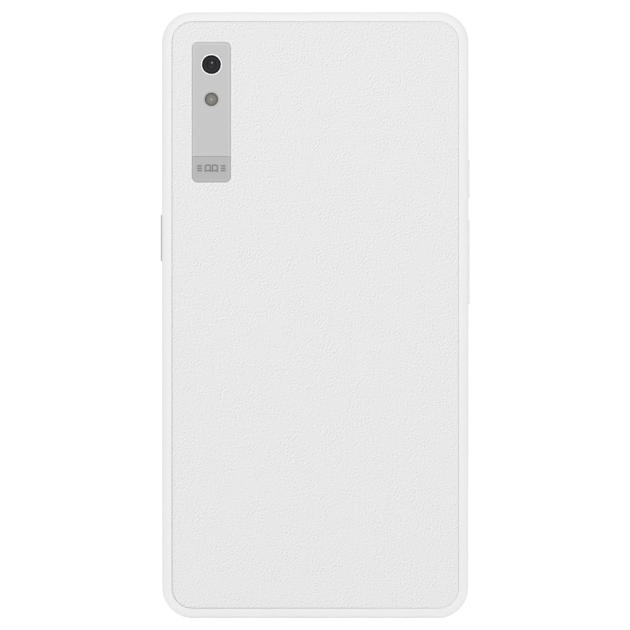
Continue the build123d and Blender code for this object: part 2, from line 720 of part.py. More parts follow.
# Memory beside the processor, then power and radio chips under the second shield
# Each is x, z, width, height and thickness
CHIPS = [
    (11.0, 137.5, 8.0, 11.5, 0.9),
    (0.0, 125.5, 7.0, 5.0, 0.8),
    (10.0, 125.5, 5.0, 5.0, 0.7),
    (-27.0, 125.5, 6.0, 6.0, 0.8),
    (-18.5, 125.5, 5.0, 5.0, 0.8),
]
with BuildPart() as board_chips:
    for x, z, width, height, thickness in CHIPS:
        add_slab(x, z, width, height, BOARD_FACE + thickness, BOARD_FACE)

# Shields: sheet-metal lids over the chips; each is x, z, width, height
SHIELD_HEIGHT = 1.5
SHIELD_CORNER = 1.0
SHEET = 0.2
SHIELDS = [(4.0, 133.5, 26.0, 25.0), (-22.0, 125.5, 20.0, 13.0)]
with BuildPart() as board_shields:
    for x, z, width, height in SHIELDS:
        add_slab(x, z, width, height, BOARD_FACE + SHIELD_HEIGHT, BOARD_FACE, SHIELD_CORNER)
        add_slab(
            x,
            z,
            width - 2 * SHEET,
            height - 2 * SHEET,
            BOARD_FACE + SHIELD_HEIGHT - SHEET,
            BOARD_FACE,
            SHIELD_CORNER - SHEET,
            Mode.SUBTRACT,
        )

LEAD_FACE = 0.6
BATTERY_LEAD_X = 4.0
MAIN_FLEX_X = -22.0

# Flex sockets; each is x, z, width, height and the depth of its top
SOCKETS = [
    (FLEX_SLOT_X, 149.7, 16.0, 2.6, CONNECTOR_TOP),
    (CAMERA_FLEX_X, 128.4, 4.4, 2.6, CONNECTOR_TOP),
    (BATTERY_LEAD_X, 116.5, 9.0, 3.0, LEAD_FACE),
    (MAIN_FLEX_X, 116.0, 10.0, 3.0, LEAD_FACE),
    (33.4, POWER_TAIL_Z, 1.4, 3.0, 1.2),
    (-33.4, SIDE_KEY_TAIL_Z, 1.4, 3.0, 1.2),
    (MAIN_FLEX_X, 15.0, 10.0, 3.0, LEAD_FACE),
]
with BuildPart() as board_connectors:
    for x, z, width, height, top in SOCKETS:
        add_slab(x, z, width, height, top, BOARD_FACE)

READER_WIDTH = 14.8
READER_SHEET = 0.15
READER_ROOF = BOARD_FACE + 1.5
READER_Y = (READER_ROOF + BOARD_FACE) / 2
READER_WINDOW_Z = 147.5
READER_WINDOW = (8.0, 9.0)
READER_LID = READER_ROOF - READER_SHEET

# Card reader: a sheet-metal sleeve, open at both ends, on the main board
with BuildPart() as card_reader:
    add_beam(TRAY_X, READER_Y, READER_WIDTH, READER_ROOF - BOARD_FACE, READER_BOTTOM, READER_TOP)
    add_beam(
        TRAY_X,
        READER_Y,
        READER_WIDTH - 2 * READER_SHEET,
        READER_ROOF - BOARD_FACE - 2 * READER_SHEET,
        READER_BOTTOM,
        READER_TOP,
        Mode.SUBTRACT,
    )
    add_slab(TRAY_X, READER_WINDOW_Z, *READER_WINDOW, READER_ROOF, READER_LID, SHIELD_CORNER, Mode.SUBTRACT)

DOOR_BOTTOM = LENGTH - WALL - 0.4
TRAY_FACE = TRAY_Y + TRAY_THICKNESS / 2
TRAY_END = 1.0
CARD_CORNER = 0.6
SEAL = 0.6
SEAL_WALL = 0.5

# Card tray: a door flush with the top edge, on a thin tray with a pocket for the memory card
with BuildPart() as card_tray:
    with BuildSketch(Plane.XY.offset(DOOR_BOTTOM)):
        with Locations((DOOR_X, TRAY_Y)):
            SlotOverall(DOOR_WIDTH, DOOR_HEIGHT)
    extrude(amount=LENGTH - DOOR_INSET - DOOR_BOTTOM)
    fillet(card_tray.faces().sort_by(Axis.Z)[-1].edges(), GAP)
    add_beam(TRAY_X, TRAY_Y, TRAY_WIDTH, TRAY_THICKNESS, TRAY_BOTTOM, DOOR_BOTTOM)
    add_slab(
        TRAY_X,
        TRAY_BOTTOM + TRAY_END + CARD_LENGTH / 2,
        CARD_WIDTH,
        CARD_LENGTH,
        TRAY_FACE,
        TRAY_FACE - CARD_THICKNESS,
        CARD_CORNER,
        Mode.SUBTRACT,
    )
    with BuildSketch(Plane.XY.offset(DOOR_BOTTOM)):
        with Locations((PINHOLE_X, TRAY_Y)):
            Circle(PINHOLE_RADIUS)
    extrude(amount=LENGTH - DOOR_BOTTOM, mode=Mode.SUBTRACT)

# Rubber seal round the tray just under its door
with BuildPart() as tray_seal:
    with BuildSketch(Plane.XY.offset(DOOR_BOTTOM - SEAL)):
        with Locations((TRAY_X, TRAY_Y)):
            RectangleRounded(TRAY_WIDTH + 2 * SEAL_WALL, TRAY_THICKNESS + 0.8, SEAL_WALL)
            Rectangle(TRAY_WIDTH, TRAY_THICKNESS, mode=Mode.SUBTRACT)
    extrude(amount=SEAL)

ROD_SIDE = 0.8
ROD_TOP = DOOR_BOTTOM - 0.4
ARM_WIDTH = 10.0
ARM_SHEET = 0.6
TOE_WIDTH = 1.0
TOE_TOP = TRAY_BOTTOM - 0.1

# Eject lever: a push rod behind the pinhole and an arm under the tray's end
with BuildPart() as eject_lever:
    arm_top = LEVER_BOTTOM + LEVER_ARM
    add_beam(PINHOLE_X, TRAY_Y, ROD_SIDE, ROD_SIDE, LEVER_BOTTOM, ROD_TOP)
    arm_end = PINHOLE_X + ROD_SIDE / 2 - ARM_WIDTH
    add_beam(arm_end + ARM_WIDTH / 2, TRAY_Y, ARM_WIDTH, ARM_SHEET, LEVER_BOTTOM, arm_top)
    add_beam(arm_end + TOE_WIDTH / 2, TRAY_Y, TOE_WIDTH, ARM_SHEET, arm_top, TOE_TOP)

MIC_WIDTH = 3.5
MIC_LENGTH = 2.6
MIC_FACE = BOARD_FACE + 1.0
MIC_INSET = 1.6
MIC_CORNER = 0.3

with BuildPart() as top_microphone:
    top_mic_z = MAIN_BOARD_TOP - MIC_INSET
    add_slab(TOP_MIC_X, top_mic_z, MIC_WIDTH, MIC_LENGTH, MIC_FACE, BOARD_FACE, MIC_CORNER)

# ---------------------------------------------------------------- inner covers


COVER_CORNER = 3.2
HEAD_SEAT = COVER_FACE - SCREW_HEAD - 0.1
HEAD_CLEARANCE = 0.1
SHANK_CLEARANCE = 0.15


def inner_cover(bottom, top, screws):
    """Moulded cover over a board, with a hollow post down to the board at each screw."""
    with BuildPart() as cover:
        add_slab(0, (bottom + top) / 2, COVER_WIDTH, top - bottom, COVER_FACE, COVER_UNDERSIDE, COVER_CORNER)
        for x, z in screws:
            add_disc(x, z, POST_RADIUS, COVER_UNDERSIDE, BOARD_FACE)
            add_disc(x, z, SCREW_HEAD_RADIUS + HEAD_CLEARANCE, COVER_FACE, HEAD_SEAT, Mode.SUBTRACT)
            add_disc(x, z, SCREW_RADIUS + SHANK_CLEARANCE, COVER_FACE, BOARD_FACE, Mode.SUBTRACT)
    return cover


plain_upper_cover = inner_cover(UPPER_COVER_BOTTOM, LENGTH - COVER_INSET, UPPER_SCREWS)
lower_cover = inner_cover(COVER_INSET, LOWER_COVER_TOP, LOWER_SCREWS)

BARREL_MARGIN = 0.35
PIPE_MARGIN = 0.3

# The upper cover is open over the camera barrel and the flash light pipe
with BuildPart() as upper_cover:
    add(plain_upper_cover.part)
    add_disc(CAMERA_X, CAMERA_Z, BARREL_RADIUS + BARREL_MARGIN, COVER_FACE, COVER_UNDERSIDE, Mode.SUBTRACT)
    add_disc(CAMERA_X, FLASH_Z, PIPE_RADIUS + PIPE_MARGIN, COVER_FACE, COVER_UNDERSIDE, Mode.SUBTRACT)

# Antennas printed on the upper cover; each is x, z, width, height
ANTENNA = 0.05
ANTENNAS = [(6.0, 152.9, 22.0, 1.4), (-20.0, 152.9, 18.0, 1.4), (34.5, 133.0, 1.4, 20.0)]
with BuildPart() as antennas:
    for x, z, width, height in ANTENNAS:
        add_slab(x, z, width, height, COVER_FACE + ANTENNA, COVER_FACE)

SCREW_TIP = CHASSIS_UNDERSIDE + 0.1

with BuildPart() as cover_screws:
    for x, z in UPPER_SCREWS + LOWER_SCREWS:
        add_screw(x, z, HEAD_SEAT, SCREW_HEAD, SCREW_HEAD_RADIUS, SCREW_RADIUS, SCREW_TIP)

# ---------------------------------------------------------------- bottom end

SUB_BOARD_MID = (SUB_BOARD_BOTTOM + SUB_BOARD_TOP) / 2
USB_TOP = USB_RECESS + USB_DEPTH
SUB_BOARD_WIDTH = 68.0
SUB_BOARD_CORNER = 1.5
USB_NOTCH_DEPTH = 3.7
EAR_Z = 6.5
EAR = (1.6, 1.8)
EAR_SHEET = 0.2
TONGUE_BASE = USB_TOP - USB_SHEET - 1.6
TONGUE_WIDTH = 6.69
TONGUE = 0.7
TONGUE_TIP = USB_RECESS + 0.9

with BuildPart() as sub_board:
    length = SUB_BOARD_TOP - SUB_BOARD_BOTTOM
    add_slab(0, SUB_BOARD_MID, SUB_BOARD_WIDTH, length, BOARD_FACE, BOARD_UNDERSIDE, SUB_BOARD_CORNER)
    notch_width = USB_WIDTH + 2 * SCREW_CLEARANCE
    add_beam(
        0,
        (BOARD_FACE + BOARD_UNDERSIDE) / 2,
        notch_width,
        BOARD_FACE - BOARD_UNDERSIDE,
        SUB_BOARD_BOTTOM,
        SUB_BOARD_BOTTOM + USB_NOTCH_DEPTH,
        Mode.SUBTRACT,
    )
    for x, z in LOWER_SCREWS:
        add_disc(x, z, SCREW_RADIUS + SCREW_CLEARANCE, BOARD_FACE, BOARD_UNDERSIDE, Mode.SUBTRACT)

# USB-C receptacle shell, closed at its inner end, with two ears on the board
with BuildPart() as usb_shell:
    with BuildSketch(Plane.XY.offset(USB_RECESS)):
        SlotOverall(USB_WIDTH, USB_HEIGHT)
    extrude(amount=USB_DEPTH)
    with BuildSketch(Plane.XY.offset(USB_RECESS)):
        SlotOverall(USB_WIDTH - 2 * USB_SHEET, USB_HEIGHT - 2 * USB_SHEET)
    extrude(amount=USB_DEPTH - USB_SHEET, mode=Mode.SUBTRACT)
    for side in (-1, 1):
        add_slab(side * (USB_WIDTH / 2 + 0.7), EAR_Z, *EAR, BOARD_FACE + EAR_SHEET, BOARD_FACE)

# Tongue with its contacts' carrier, on a base that fills the shell's inner end
with BuildPart() as usb_tongue:
    with BuildSketch(Plane.XY.offset(TONGUE_BASE)):
        SlotOverall(USB_WIDTH - 2 * USB_SHEET - 2 * SLIP, USB_HEIGHT - 2 * USB_SHEET - 2 * SLIP)
    extrude(amount=USB_TOP - USB_SHEET - TONGUE_BASE)
    add_beam(0, 0, TONGUE_WIDTH, TONGUE, TONGUE_TIP, TONGUE_BASE)

SPEAKER_Z = 11.0
SPEAKER_SIZE = (21.0, 16.0)
SPEAKER_FACE = COVER_UNDERSIDE - 0.1
SPEAKER_BACK = BOARD_FACE + 0.05
SPEAKER_CORNER = 2.0
CONE_Z = 11.8
CONE_SIZE = (15.0, 10.0)
CONE_SEAT = SPEAKER_FACE - 0.25
CONE_CORNER = 3.0

# Speaker: a closed box with a recessed cone on its back
with BuildPart() as speaker_module:
    add_slab(SPEAKER_X, SPEAKER_Z, *SPEAKER_SIZE, SPEAKER_FACE, SPEAKER_BACK, SPEAKER_CORNER)
    add_slab(SPEAKER_X, CONE_Z, *CONE_SIZE, SPEAKER_FACE, CONE_SEAT, CONE_CORNER, Mode.SUBTRACT)

MESH_DEPTH = 2.2
MESH_BACK = WALL + 0.2

# Mesh behind the speaker holes
with BuildPart() as speaker_mesh:
    add_beam(SPEAKER_X, 0, SPEAKER_HOLES * SPEAKER_PITCH, MESH_DEPTH, WALL + SLIP, MESH_BACK)

with BuildPart() as bottom_microphone:
    bottom_mic_z = SUB_BOARD_BOTTOM + MIC_INSET
    add_slab(BOTTOM_MIC_X, bottom_mic_z, MIC_WIDTH, MIC_LENGTH, MIC_FACE, BOARD_FACE, MIC_CORNER)

MAIN_FLEX_BOTTOM = 13.6
MAIN_FLEX_RISE = 20.6
MAIN_FLEX_FALL = 110.4
MAIN_FLEX_TOP = 117.4
MAIN_FLEX_BEND = 0.3
MAIN_FLEX_WIDTH = 9.0

# Main flex: from the sub board, up over the battery, to the main board
with BuildPart() as main_flex:
    low = LEAD_FACE + FLEX / 2
    high = BATTERY_FACE + 0.05 + FLEX / 2
    add_ribbon(
        Plane.YZ.offset(MAIN_FLEX_X),
        [
            (low, MAIN_FLEX_BOTTOM),
            (low, MAIN_FLEX_RISE),
            (high, MAIN_FLEX_RISE),
            (high, MAIN_FLEX_FALL),
            (low, MAIN_FLEX_FALL),
            (low, MAIN_FLEX_TOP),
        ],
        MAIN_FLEX_BEND,
        MAIN_FLEX_WIDTH,
    )

# ---------------------------------------------------------------- battery

BATTERY_MID = (BATTERY_TOP + BATTERY_BOTTOM) / 2
BATTERY_LENGTH = BATTERY_TOP - BATTERY_BOTTOM
BATTERY_CORNER = 1.5
BATTERY_ROUND = 0.6
BATTERY_PAD_MARGIN = 5.0
PROTECTION_X = 6.0
PROTECTION_Z = 110.6
PROTECTION_SIZE = (36.0, 3.6)
LEAD_Z = 114.0
LEAD_SIZE = (8.0, 8.0)

with BuildPart() as battery_cell:
    add_slab(0, BATTERY_MID, BATTERY_WIDTH, BATTERY_LENGTH, BATTERY_FACE, BATTERY_UNDERSIDE, BATTERY_CORNER)
    rims = battery_cell.edges().group_by(Axis.Y)
    fillet(rims[-1] + rims[0], BATTERY_ROUND)

with BuildPart() as battery_adhesive:
    pad_width = BATTERY_WIDTH - 2 * BATTERY_PAD_MARGIN
    pad_length = BATTERY_LENGTH - 2 * BATTERY_PAD_MARGIN
    add_slab(0, BATTERY_MID, pad_width, pad_length, BATTERY_UNDERSIDE, CHASSIS_FACE)

# Battery lead: the protection board along the cell's top edge, and its flex to the main board
with BuildPart() as battery_lead:
    add_slab(PROTECTION_X, PROTECTION_Z, *PROTECTION_SIZE, LEAD_FACE, -LEAD_FACE)
    add_slab(BATTERY_LEAD_X, LEAD_Z, *LEAD_SIZE, LEAD_FACE + FLEX, LEAD_FACE)

# ---------------------------------------------------------------- files

pieces = {
    "side_frame": side_frame,
    "mid_plate": mid_plate,
    "cover_lens": cover_lens,
    "bezel_film": bezel_film,
    "touch_layer": touch_layer,
    "light_guide": light_guide,
    "frontlight_leds": frontlight_leds,
    "frontlight_strip": frontlight_strip,
    "epaper_film": epaper_film,
    "epaper_backplane": epaper_backplane,
    "display_flex": display_flex,
    "light_sensor": light_sensor,
    "back_panel": back_panel,
    "back_adhesive": back_adhesive,
    "camera_plate": camera_plate,
    "badge_plate": badge_plate,
    "camera_ring": camera_ring,
    "camera_window": camera_window,
    "camera_barrel": camera_barrel,
    "camera_lenses": camera_lenses,
    "camera_body": camera_body,
    "camera_flex": camera_flex,
    "flash_window": flash_window,
    "flash_led": flash_led,
    "power_button": power_button_pocketed,
    "fingerprint_sensor": fingerprint_sensor,
    "power_dome": power_dome,
    "power_flex": power_flex,
    "power_bracket": power_bracket,
    "function_button": function_button,
    "function_dome": function_dome,
    "volume_key": volume_key,
    "volume_domes": volume_domes,
    "side_key_flex": side_key_flex,
    "side_key_bracket": side_key_bracket,
    "bracket_screws": bracket_screws,
    "main_board": main_board,
    "processor": processor,
    "board_chips": board_chips,
    "board_shields": board_shields,
    "board_connectors": board_connectors,
    "card_reader": card_reader,
    "card_tray": card_tray,
    "tray_seal": tray_seal,
    "eject_lever": eject_lever,
    "top_microphone": top_microphone,
    "upper_cover": upper_cover,
    "lower_cover": lower_cover,
    "antennas": antennas,
    "cover_screws": cover_screws,
    "sub_board": sub_board,
    "usb_shell": usb_shell,
    "usb_tongue": usb_tongue,
    "speaker_module": speaker_module,
    "speaker_mesh": speaker_mesh,
    "bottom_microphone": bottom_microphone,
    "main_flex": main_flex,
    "battery_cell": battery_cell,
    "battery_adhesive": battery_adhesive,
    "battery_lead": battery_lead,
}

os.makedirs("parts", exist_ok=True)
for name, piece in pieces.items():
    piece.part.label = name
    export_step(piece.part, f"parts/{name}.step")
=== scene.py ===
import json
import math

import bmesh
import bpy
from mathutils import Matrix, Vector, noise
from mathutils.geometry import delaunay_2d_cdt


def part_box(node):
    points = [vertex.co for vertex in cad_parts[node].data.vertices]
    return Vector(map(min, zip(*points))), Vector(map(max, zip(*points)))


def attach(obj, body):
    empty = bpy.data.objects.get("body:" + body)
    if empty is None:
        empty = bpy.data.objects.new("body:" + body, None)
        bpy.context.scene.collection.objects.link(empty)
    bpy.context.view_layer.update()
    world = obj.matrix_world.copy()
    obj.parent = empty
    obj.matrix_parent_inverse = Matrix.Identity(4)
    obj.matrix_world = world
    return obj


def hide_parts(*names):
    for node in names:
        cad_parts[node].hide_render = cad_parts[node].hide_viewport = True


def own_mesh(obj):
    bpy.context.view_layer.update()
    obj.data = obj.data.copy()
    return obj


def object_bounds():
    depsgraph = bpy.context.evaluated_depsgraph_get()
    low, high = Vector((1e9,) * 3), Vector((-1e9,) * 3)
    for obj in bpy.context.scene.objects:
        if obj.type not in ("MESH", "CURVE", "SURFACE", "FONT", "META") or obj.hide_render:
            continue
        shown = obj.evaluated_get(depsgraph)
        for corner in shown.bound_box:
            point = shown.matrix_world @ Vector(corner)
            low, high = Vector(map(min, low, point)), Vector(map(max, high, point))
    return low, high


# Looks of a white phone-format e-reader, standing upright on a pale floor. Metres, in the frame's own axes:
# X across the width, +Y out of the textured back, Z up along the length.

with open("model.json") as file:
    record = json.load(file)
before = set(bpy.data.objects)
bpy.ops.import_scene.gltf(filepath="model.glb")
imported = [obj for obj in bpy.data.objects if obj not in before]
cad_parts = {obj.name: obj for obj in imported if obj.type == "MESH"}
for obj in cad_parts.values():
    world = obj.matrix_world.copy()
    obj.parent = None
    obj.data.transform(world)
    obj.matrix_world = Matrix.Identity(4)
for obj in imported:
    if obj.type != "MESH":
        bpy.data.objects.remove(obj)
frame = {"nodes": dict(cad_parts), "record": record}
cad_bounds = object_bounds()
MM = 0.001

# ---------------------------------------------------------------- camera, lights and floor

CAMERA_LENS = 300.0
CAMERA_SENSOR = 36.0
CAMERA_CLIP = (0.05, 50)
# Width in view at the depth of VIEW_PLANE, and how far the view's middle is from X = 0
VIEW_WIDTH = 165.3 * MM
VIEW_PLANE = 1.8 * MM
VIEW_OFFSET = 0.066 * MM
LIGHT_TARGET = Vector((0, 0, 80 * MM))
# Square soft boxes: place, side and power
SOFTBOXES = {
    "key": ((-0.03, 0.92, 0.405), 0.17, 0.73),
    "top": ((0, 0.30, 0.60), 0.60, 0.50),
    "fill": ((0.20, -0.85, 0.5), 0.5, 0.55),
}
# Strength of the surroundings and of the floor's glow: as they light the reader, and as they are seen
AMBIENT = 0.80
BACKDROP = 1.02
FLOOR_GLOW = (0.46, 0.58)
FLOOR_TONES = (0.54, 0.57)
FLOOR_CLOUDS = 4.0
FLOOR_ROUGHNESS = 0.9
FLOOR_LEVEL = -0.05 * MM
FLOOR_SIZE = 3.0


def grey(tone):
    """Neutral colour of one tone."""
    return (tone, tone, tone)


def aimed(obj, place, target):
    """Put obj at place, looking at target."""
    obj.location = place
    obj.rotation_euler = (Vector(target) - Vector(place)).to_track_quat("-Z", "Y").to_euler()


def add_camera():
    """Camera straight behind the reader, far away with a long lens."""
    low, high = cad_bounds
    data = bpy.data.cameras.new("camera")
    data.lens = CAMERA_LENS
    data.sensor_width = CAMERA_SENSOR
    data.clip_start, data.clip_end = CAMERA_CLIP
    camera = bpy.data.objects.new("camera", data)
    bpy.context.scene.collection.objects.link(camera)
    middle = (low.z + high.z) / 2
    distance = VIEW_WIDTH * CAMERA_LENS / CAMERA_SENSOR
    aimed(camera, (VIEW_OFFSET, VIEW_PLANE + distance, middle), (VIEW_OFFSET, 0, middle))
    bpy.context.scene.camera = camera


def add_softbox(name, place, size, power):
    """Square area light aimed at the reader."""
    data = bpy.data.lights.new(name, "AREA")
    data.size = size
    data.energy = power
    light = bpy.data.objects.new(name, data)
    bpy.context.scene.collection.objects.link(light)
    aimed(light, place, LIGHT_TARGET)


def add_shown(tree, lighting, shown):
    """Strength of a white surface: shown to the eye directly, and lighting as it falls on the reader."""
    path = tree.nodes.new("ShaderNodeLightPath")
    strength = tree.nodes.new("ShaderNodeMix")
    strength.inputs["A"].default_value = lighting
    strength.inputs["B"].default_value = shown
    tree.links.new(path.outputs["Is Camera Ray"], strength.inputs["Factor"])
    return strength.outputs["Result"]


def add_world():
    """White surroundings: a plain white backdrop, and a slightly dimmer white light on everything."""
    world = bpy.data.worlds.new("studio")
    world.use_nodes = True
    tree = world.node_tree
    background = tree.nodes["Background"]
    background.inputs["Color"].default_value = (1, 1, 1, 1)
    tree.links.new(add_shown(tree, AMBIENT, BACKDROP), background.inputs["Strength"])
    bpy.context.scene.world = world


def add_floor():
    """Large pale floor under the reader, with a glow of its own so that it meets the backdrop."""
    half = FLOOR_SIZE / 2
    corners = [(x * half, y * half, FLOOR_LEVEL) for x, y in ((-1, -1), (1, -1), (1, 1), (-1, 1))]
    mesh = bpy.data.meshes.new("floor")
    mesh.from_pydata(corners, [], [(0, 1, 2, 3)])
    floor = bpy.data.objects.new("floor", mesh)
    bpy.context.scene.collection.objects.link(floor)
    material, tree, shader = new_material("floor_pale")
    clouds = add_noise(tree, FLOOR_CLOUDS, FINE_DETAIL)
    colour = add_ramp(tree, clouds, *(grey(tone) for tone in FLOOR_TONES))
    tree.links.new(colour, shader.inputs["Base Color"])
    shader.inputs["Roughness"].default_value = FLOOR_ROUGHNESS
    shader.inputs["Emission Color"].default_value = (1, 1, 1, 1)
    tree.links.new(add_shown(tree, *FLOOR_GLOW), shader.inputs["Emission Strength"])
    mesh.materials.append(material)


# ---------------------------------------------------------------- material parts

# Values that most noise lies between
NOISE_LOW = 0.3
NOISE_HIGH = 0.7
# Detail of a texture's noise: coarse, as it comes, and fine
COARSE_DETAIL = 1.0
PLAIN_DETAIL = 2.0
FINE_DETAIL = 3.0
# A scale that leaves nothing of an axis
FAR_AWAY = 1e6


def new_material(name):
    """A node material with one Principled shader: the material, its tree and the shader."""
    material = bpy.data.materials.new(name)
    material.use_nodes = True
    tree = material.node_tree
    return material, tree, tree.nodes["Principled BSDF"]


def add_point(tree):
    """The point being shaded, in metres in its own piece."""
    return tree.nodes.new("ShaderNodeTexCoord").outputs["Object"]


def add_axes(tree):
    """The three coordinates of the point being shaded, by axis."""
    split = tree.nodes.new("ShaderNodeSeparateXYZ")
    tree.links.new(add_point(tree), split.inputs["Vector"])
    return split.outputs


def add_place(tree, scale=(1, 1, 1), turn=(0, 0, 0), shift=(0, 0, 0), point=None):
    """A point, by default the one being shaded, seen from an origin at shift, turned and then scaled."""
    mapping = tree.nodes.new("ShaderNodeMapping")
    mapping.vector_type = "TEXTURE"
    mapping.inputs["Location"].default_value = shift
    mapping.inputs["Rotation"].default_value = turn
    mapping.inputs["Scale"].default_value = scale
    tree.links.new(point or add_point(tree), mapping.inputs["Vector"])
    return mapping.outputs["Vector"]


def add_noise(tree, scale, detail=PLAIN_DETAIL, place=None):
    """Noise value with features of about one over scale."""
    texture = tree.nodes.new("ShaderNodeTexNoise")
    texture.inputs["Scale"].default_value = scale
    texture.inputs["Detail"].default_value = detail
    tree.links.new(place or add_place(tree), texture.inputs["Vector"])
    return texture.outputs["Fac"]


def add_ramp(tree, value, low, high):
    """Colour that goes from low to high over a noise value's range."""
    ramp = tree.nodes.new("ShaderNodeValToRGB")
    ramp.color_ramp.elements[0].position = NOISE_LOW
    ramp.color_ramp.elements[0].color = (*low, 1)
    ramp.color_ramp.elements[1].position = NOISE_HIGH
    ramp.color_ramp.elements[1].color = (*high, 1)
    tree.links.new(value, ramp.inputs["Fac"])
    return ramp.outputs["Color"]


def add_range(tree, value, low, high, start=NOISE_LOW, end=NOISE_HIGH):
    """Number that goes from low to high as value goes from start to end."""
    span = tree.nodes.new("ShaderNodeMapRange")
    span.inputs["From Min"].default_value = start
    span.inputs["From Max"].default_value = end
    span.inputs["To Min"].default_value = low
    span.inputs["To Max"].default_value = high
    tree.links.new(value, span.inputs["Value"])
    return span.outputs["Result"]


def add_math(tree, operation, first, second=0.0):
    """first and second, each a socket or a number, joined by operation."""
    node = tree.nodes.new("ShaderNodeMath")
    node.operation = operation
    for socket, value in zip(node.inputs, (first, second)):
        if isinstance(value, (int, float)):
            socket.default_value = value
        else:
            tree.links.new(value, socket)
    return node.outputs["Value"]


def add_profile(tree, value, stops, reach):
    """Grey tone that follows stops, each a value and its tone, between 0 and reach."""
    ramp = tree.nodes.new("ShaderNodeValToRGB")
    elements = ramp.color_ramp.elements
    while len(elements) < len(stops):
        elements.new(1.0)
    for element, (place, tone) in zip(elements, stops):
        element.position = place / reach
        element.color = (*grey(tone), 1)
    tree.links.new(add_math(tree, "DIVIDE", value, reach), ramp.inputs["Fac"])
    return ramp.outputs["Color"]


def add_product(tree, first, second):
    """One colour multiplied by another."""
    product = tree.nodes.new("ShaderNodeVectorMath")
    product.operation = "MULTIPLY"
    tree.links.new(first, product.inputs[0])
    tree.links.new(second, product.inputs[1])
    return product.outputs["Vector"]


def add_bump(tree, shader, height, depth):
    """Relief of depth metres on the shader from a height of 0 to 1."""
    bump = tree.nodes.new("ShaderNodeBump")
    bump.inputs["Strength"].default_value = 1.0
    bump.inputs["Distance"].default_value = depth
    tree.links.new(height, bump.inputs["Height"])
    tree.links.new(bump.outputs["Normal"], shader.inputs["Normal"])


def add_radius(tree, centre):
    """Distance in millimetres, parallel to the back, from the axis through centre."""
    length = tree.nodes.new("ShaderNodeVectorMath")
    length.operation = "LENGTH"
    tree.links.new(add_place(tree, (MM, FAR_AWAY, MM), shift=centre), length.inputs[0])
    return length.outputs["Value"]


def add_inset(tree, low, high, corner):
    """Distance in millimetres inside the outline of a rounded rectangle parallel to the back."""
    axes = add_axes(tree)
    beyond = []
    for axis, first, last in (("X", low.x, high.x), ("Z", low.z, high.z)):
        centred = add_math(tree, "SUBTRACT", axes[axis], (first + last) / 2)
        flat = (last - first) / 2 - corner
        beyond.append(add_math(tree, "SUBTRACT", add_math(tree, "ABSOLUTE", centred), flat))
    outside = [add_math(tree, "MAXIMUM", reach) for reach in beyond]
    squares = [add_math(tree, "MULTIPLY", reach, reach) for reach in outside]
    round_part = add_math(tree, "SQRT", add_math(tree, "ADD", *squares))
    flat_part = add_math(tree, "MINIMUM", add_math(tree, "MAXIMUM", *beyond))
    depth = add_math(tree, "SUBTRACT", corner, add_math(tree, "ADD", round_part, flat_part))
    return add_math(tree, "DIVIDE", depth, MM)


def shades(colour, spread):
    """A colour made darker and lighter by spread."""
    return [tuple(min(1, c * factor) for c in colour) for factor in (1 - spread, 1 + spread)]


def centre_of(node):
    """Middle of a CAD node's box."""
    low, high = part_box(node)
    return (low + high) / 2


def strip_box():
    """Lowest and highest corner of the whole camera strip."""
    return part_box("badge_plate")[0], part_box("camera_plate")[1]


# ---------------------------------------------------------------- plain and clear finishes

# How far the roughness of a grained finish varies, and the noise scale of its broad clouds
GRAIN_ROUGHNESS = 0.15
BROAD_CLOUDS = 90.0
CLEAR_CLOUDS = 60.0
CLEAR_SPREAD = 0.01
CLEAR_ROUGHNESS = 0.05
GLASS_INDEX = 1.5
DARK_CLOUD = 1.5 * MM
DARK_SPREAD = 0.1
DARK_ROUGHNESS = (0.04, 0.07)


def grained(name, colour, roughness, metallic=0.0, grain=0.25, relief=0.004, spread=0.02, stretch=(1, 1, 1)):
    """Moulded, painted or rolled finish: grain is its pitch and relief its depth, in millimetres."""
    material, tree, shader = new_material(name)
    place = add_place(tree, [s * grain * MM for s in stretch])
    fine = add_noise(tree, 1.0, FINE_DETAIL, place)
    broad = add_noise(tree, BROAD_CLOUDS)
    smoother, rougher = (roughness * (1 + sign * GRAIN_ROUGHNESS) for sign in (-1, 1))
    tree.links.new(add_ramp(tree, broad, *shades(colour, spread)), shader.inputs["Base Color"])
    tree.links.new(add_range(tree, fine, smoother, rougher), shader.inputs["Roughness"])
    shader.inputs["Metallic"].default_value = metallic
    add_bump(tree, shader, fine, relief * MM)
    return material


def clear(name, colour, roughness, alpha):
    """Clear glass or film, seen as a faint even haze over what is behind it."""
    material, tree, shader = new_material(name)
    broad = add_noise(tree, CLEAR_CLOUDS)
    smoother, rougher = (roughness * (1 + sign * CLEAR_ROUGHNESS) for sign in (-1, 1))
    tree.links.new(add_ramp(tree, broad, *shades(colour, CLEAR_SPREAD)), shader.inputs["Base Color"])
    tree.links.new(add_range(tree, broad, smoother, rougher), shader.inputs["Roughness"])
    shader.inputs["Alpha"].default_value = alpha
    shader.inputs["IOR"].default_value = GLASS_INDEX
    return material


def dark_glass(name, colour, level):
    """Coated dark glass: a smooth surface over a dark body, faintly clouded, with level as its shine."""
    material, tree, shader = new_material(name)
    cloud = add_noise(tree, 1 / DARK_CLOUD)
    tree.links.new(add_ramp(tree, cloud, *shades(colour, DARK_SPREAD)), shader.inputs["Base Color"])
    tree.links.new(add_range(tree, cloud, *DARK_ROUGHNESS), shader.inputs["Roughness"])
    shader.inputs["Specular IOR Level"].default_value = level
    return material


# ---------------------------------------------------------------- the embossed back

CREASE_TURN = math.radians(-46)
CREASE_PITCH = 0.36 * MM
CREASE_RUN = 0.62 * MM
CREASE_FLANK = 0.14 * MM
CREASE_DEPTH = 0.06 * MM
# Slope of the creases where the skin is level, and the painted shade and light by slope, darker on the flank
# turned from the light and lighter on the other: slope, tone
LEVEL_SLOPE = 0.5
CREASE_SHADE_TONES = ((0.22, 0.72), (0.5, 0.845), (0.78, 0.94))
WARP_PITCH = 6.0 * MM
WARP_REACH = 1.8 * MM
PATCH = 2.8 * MM
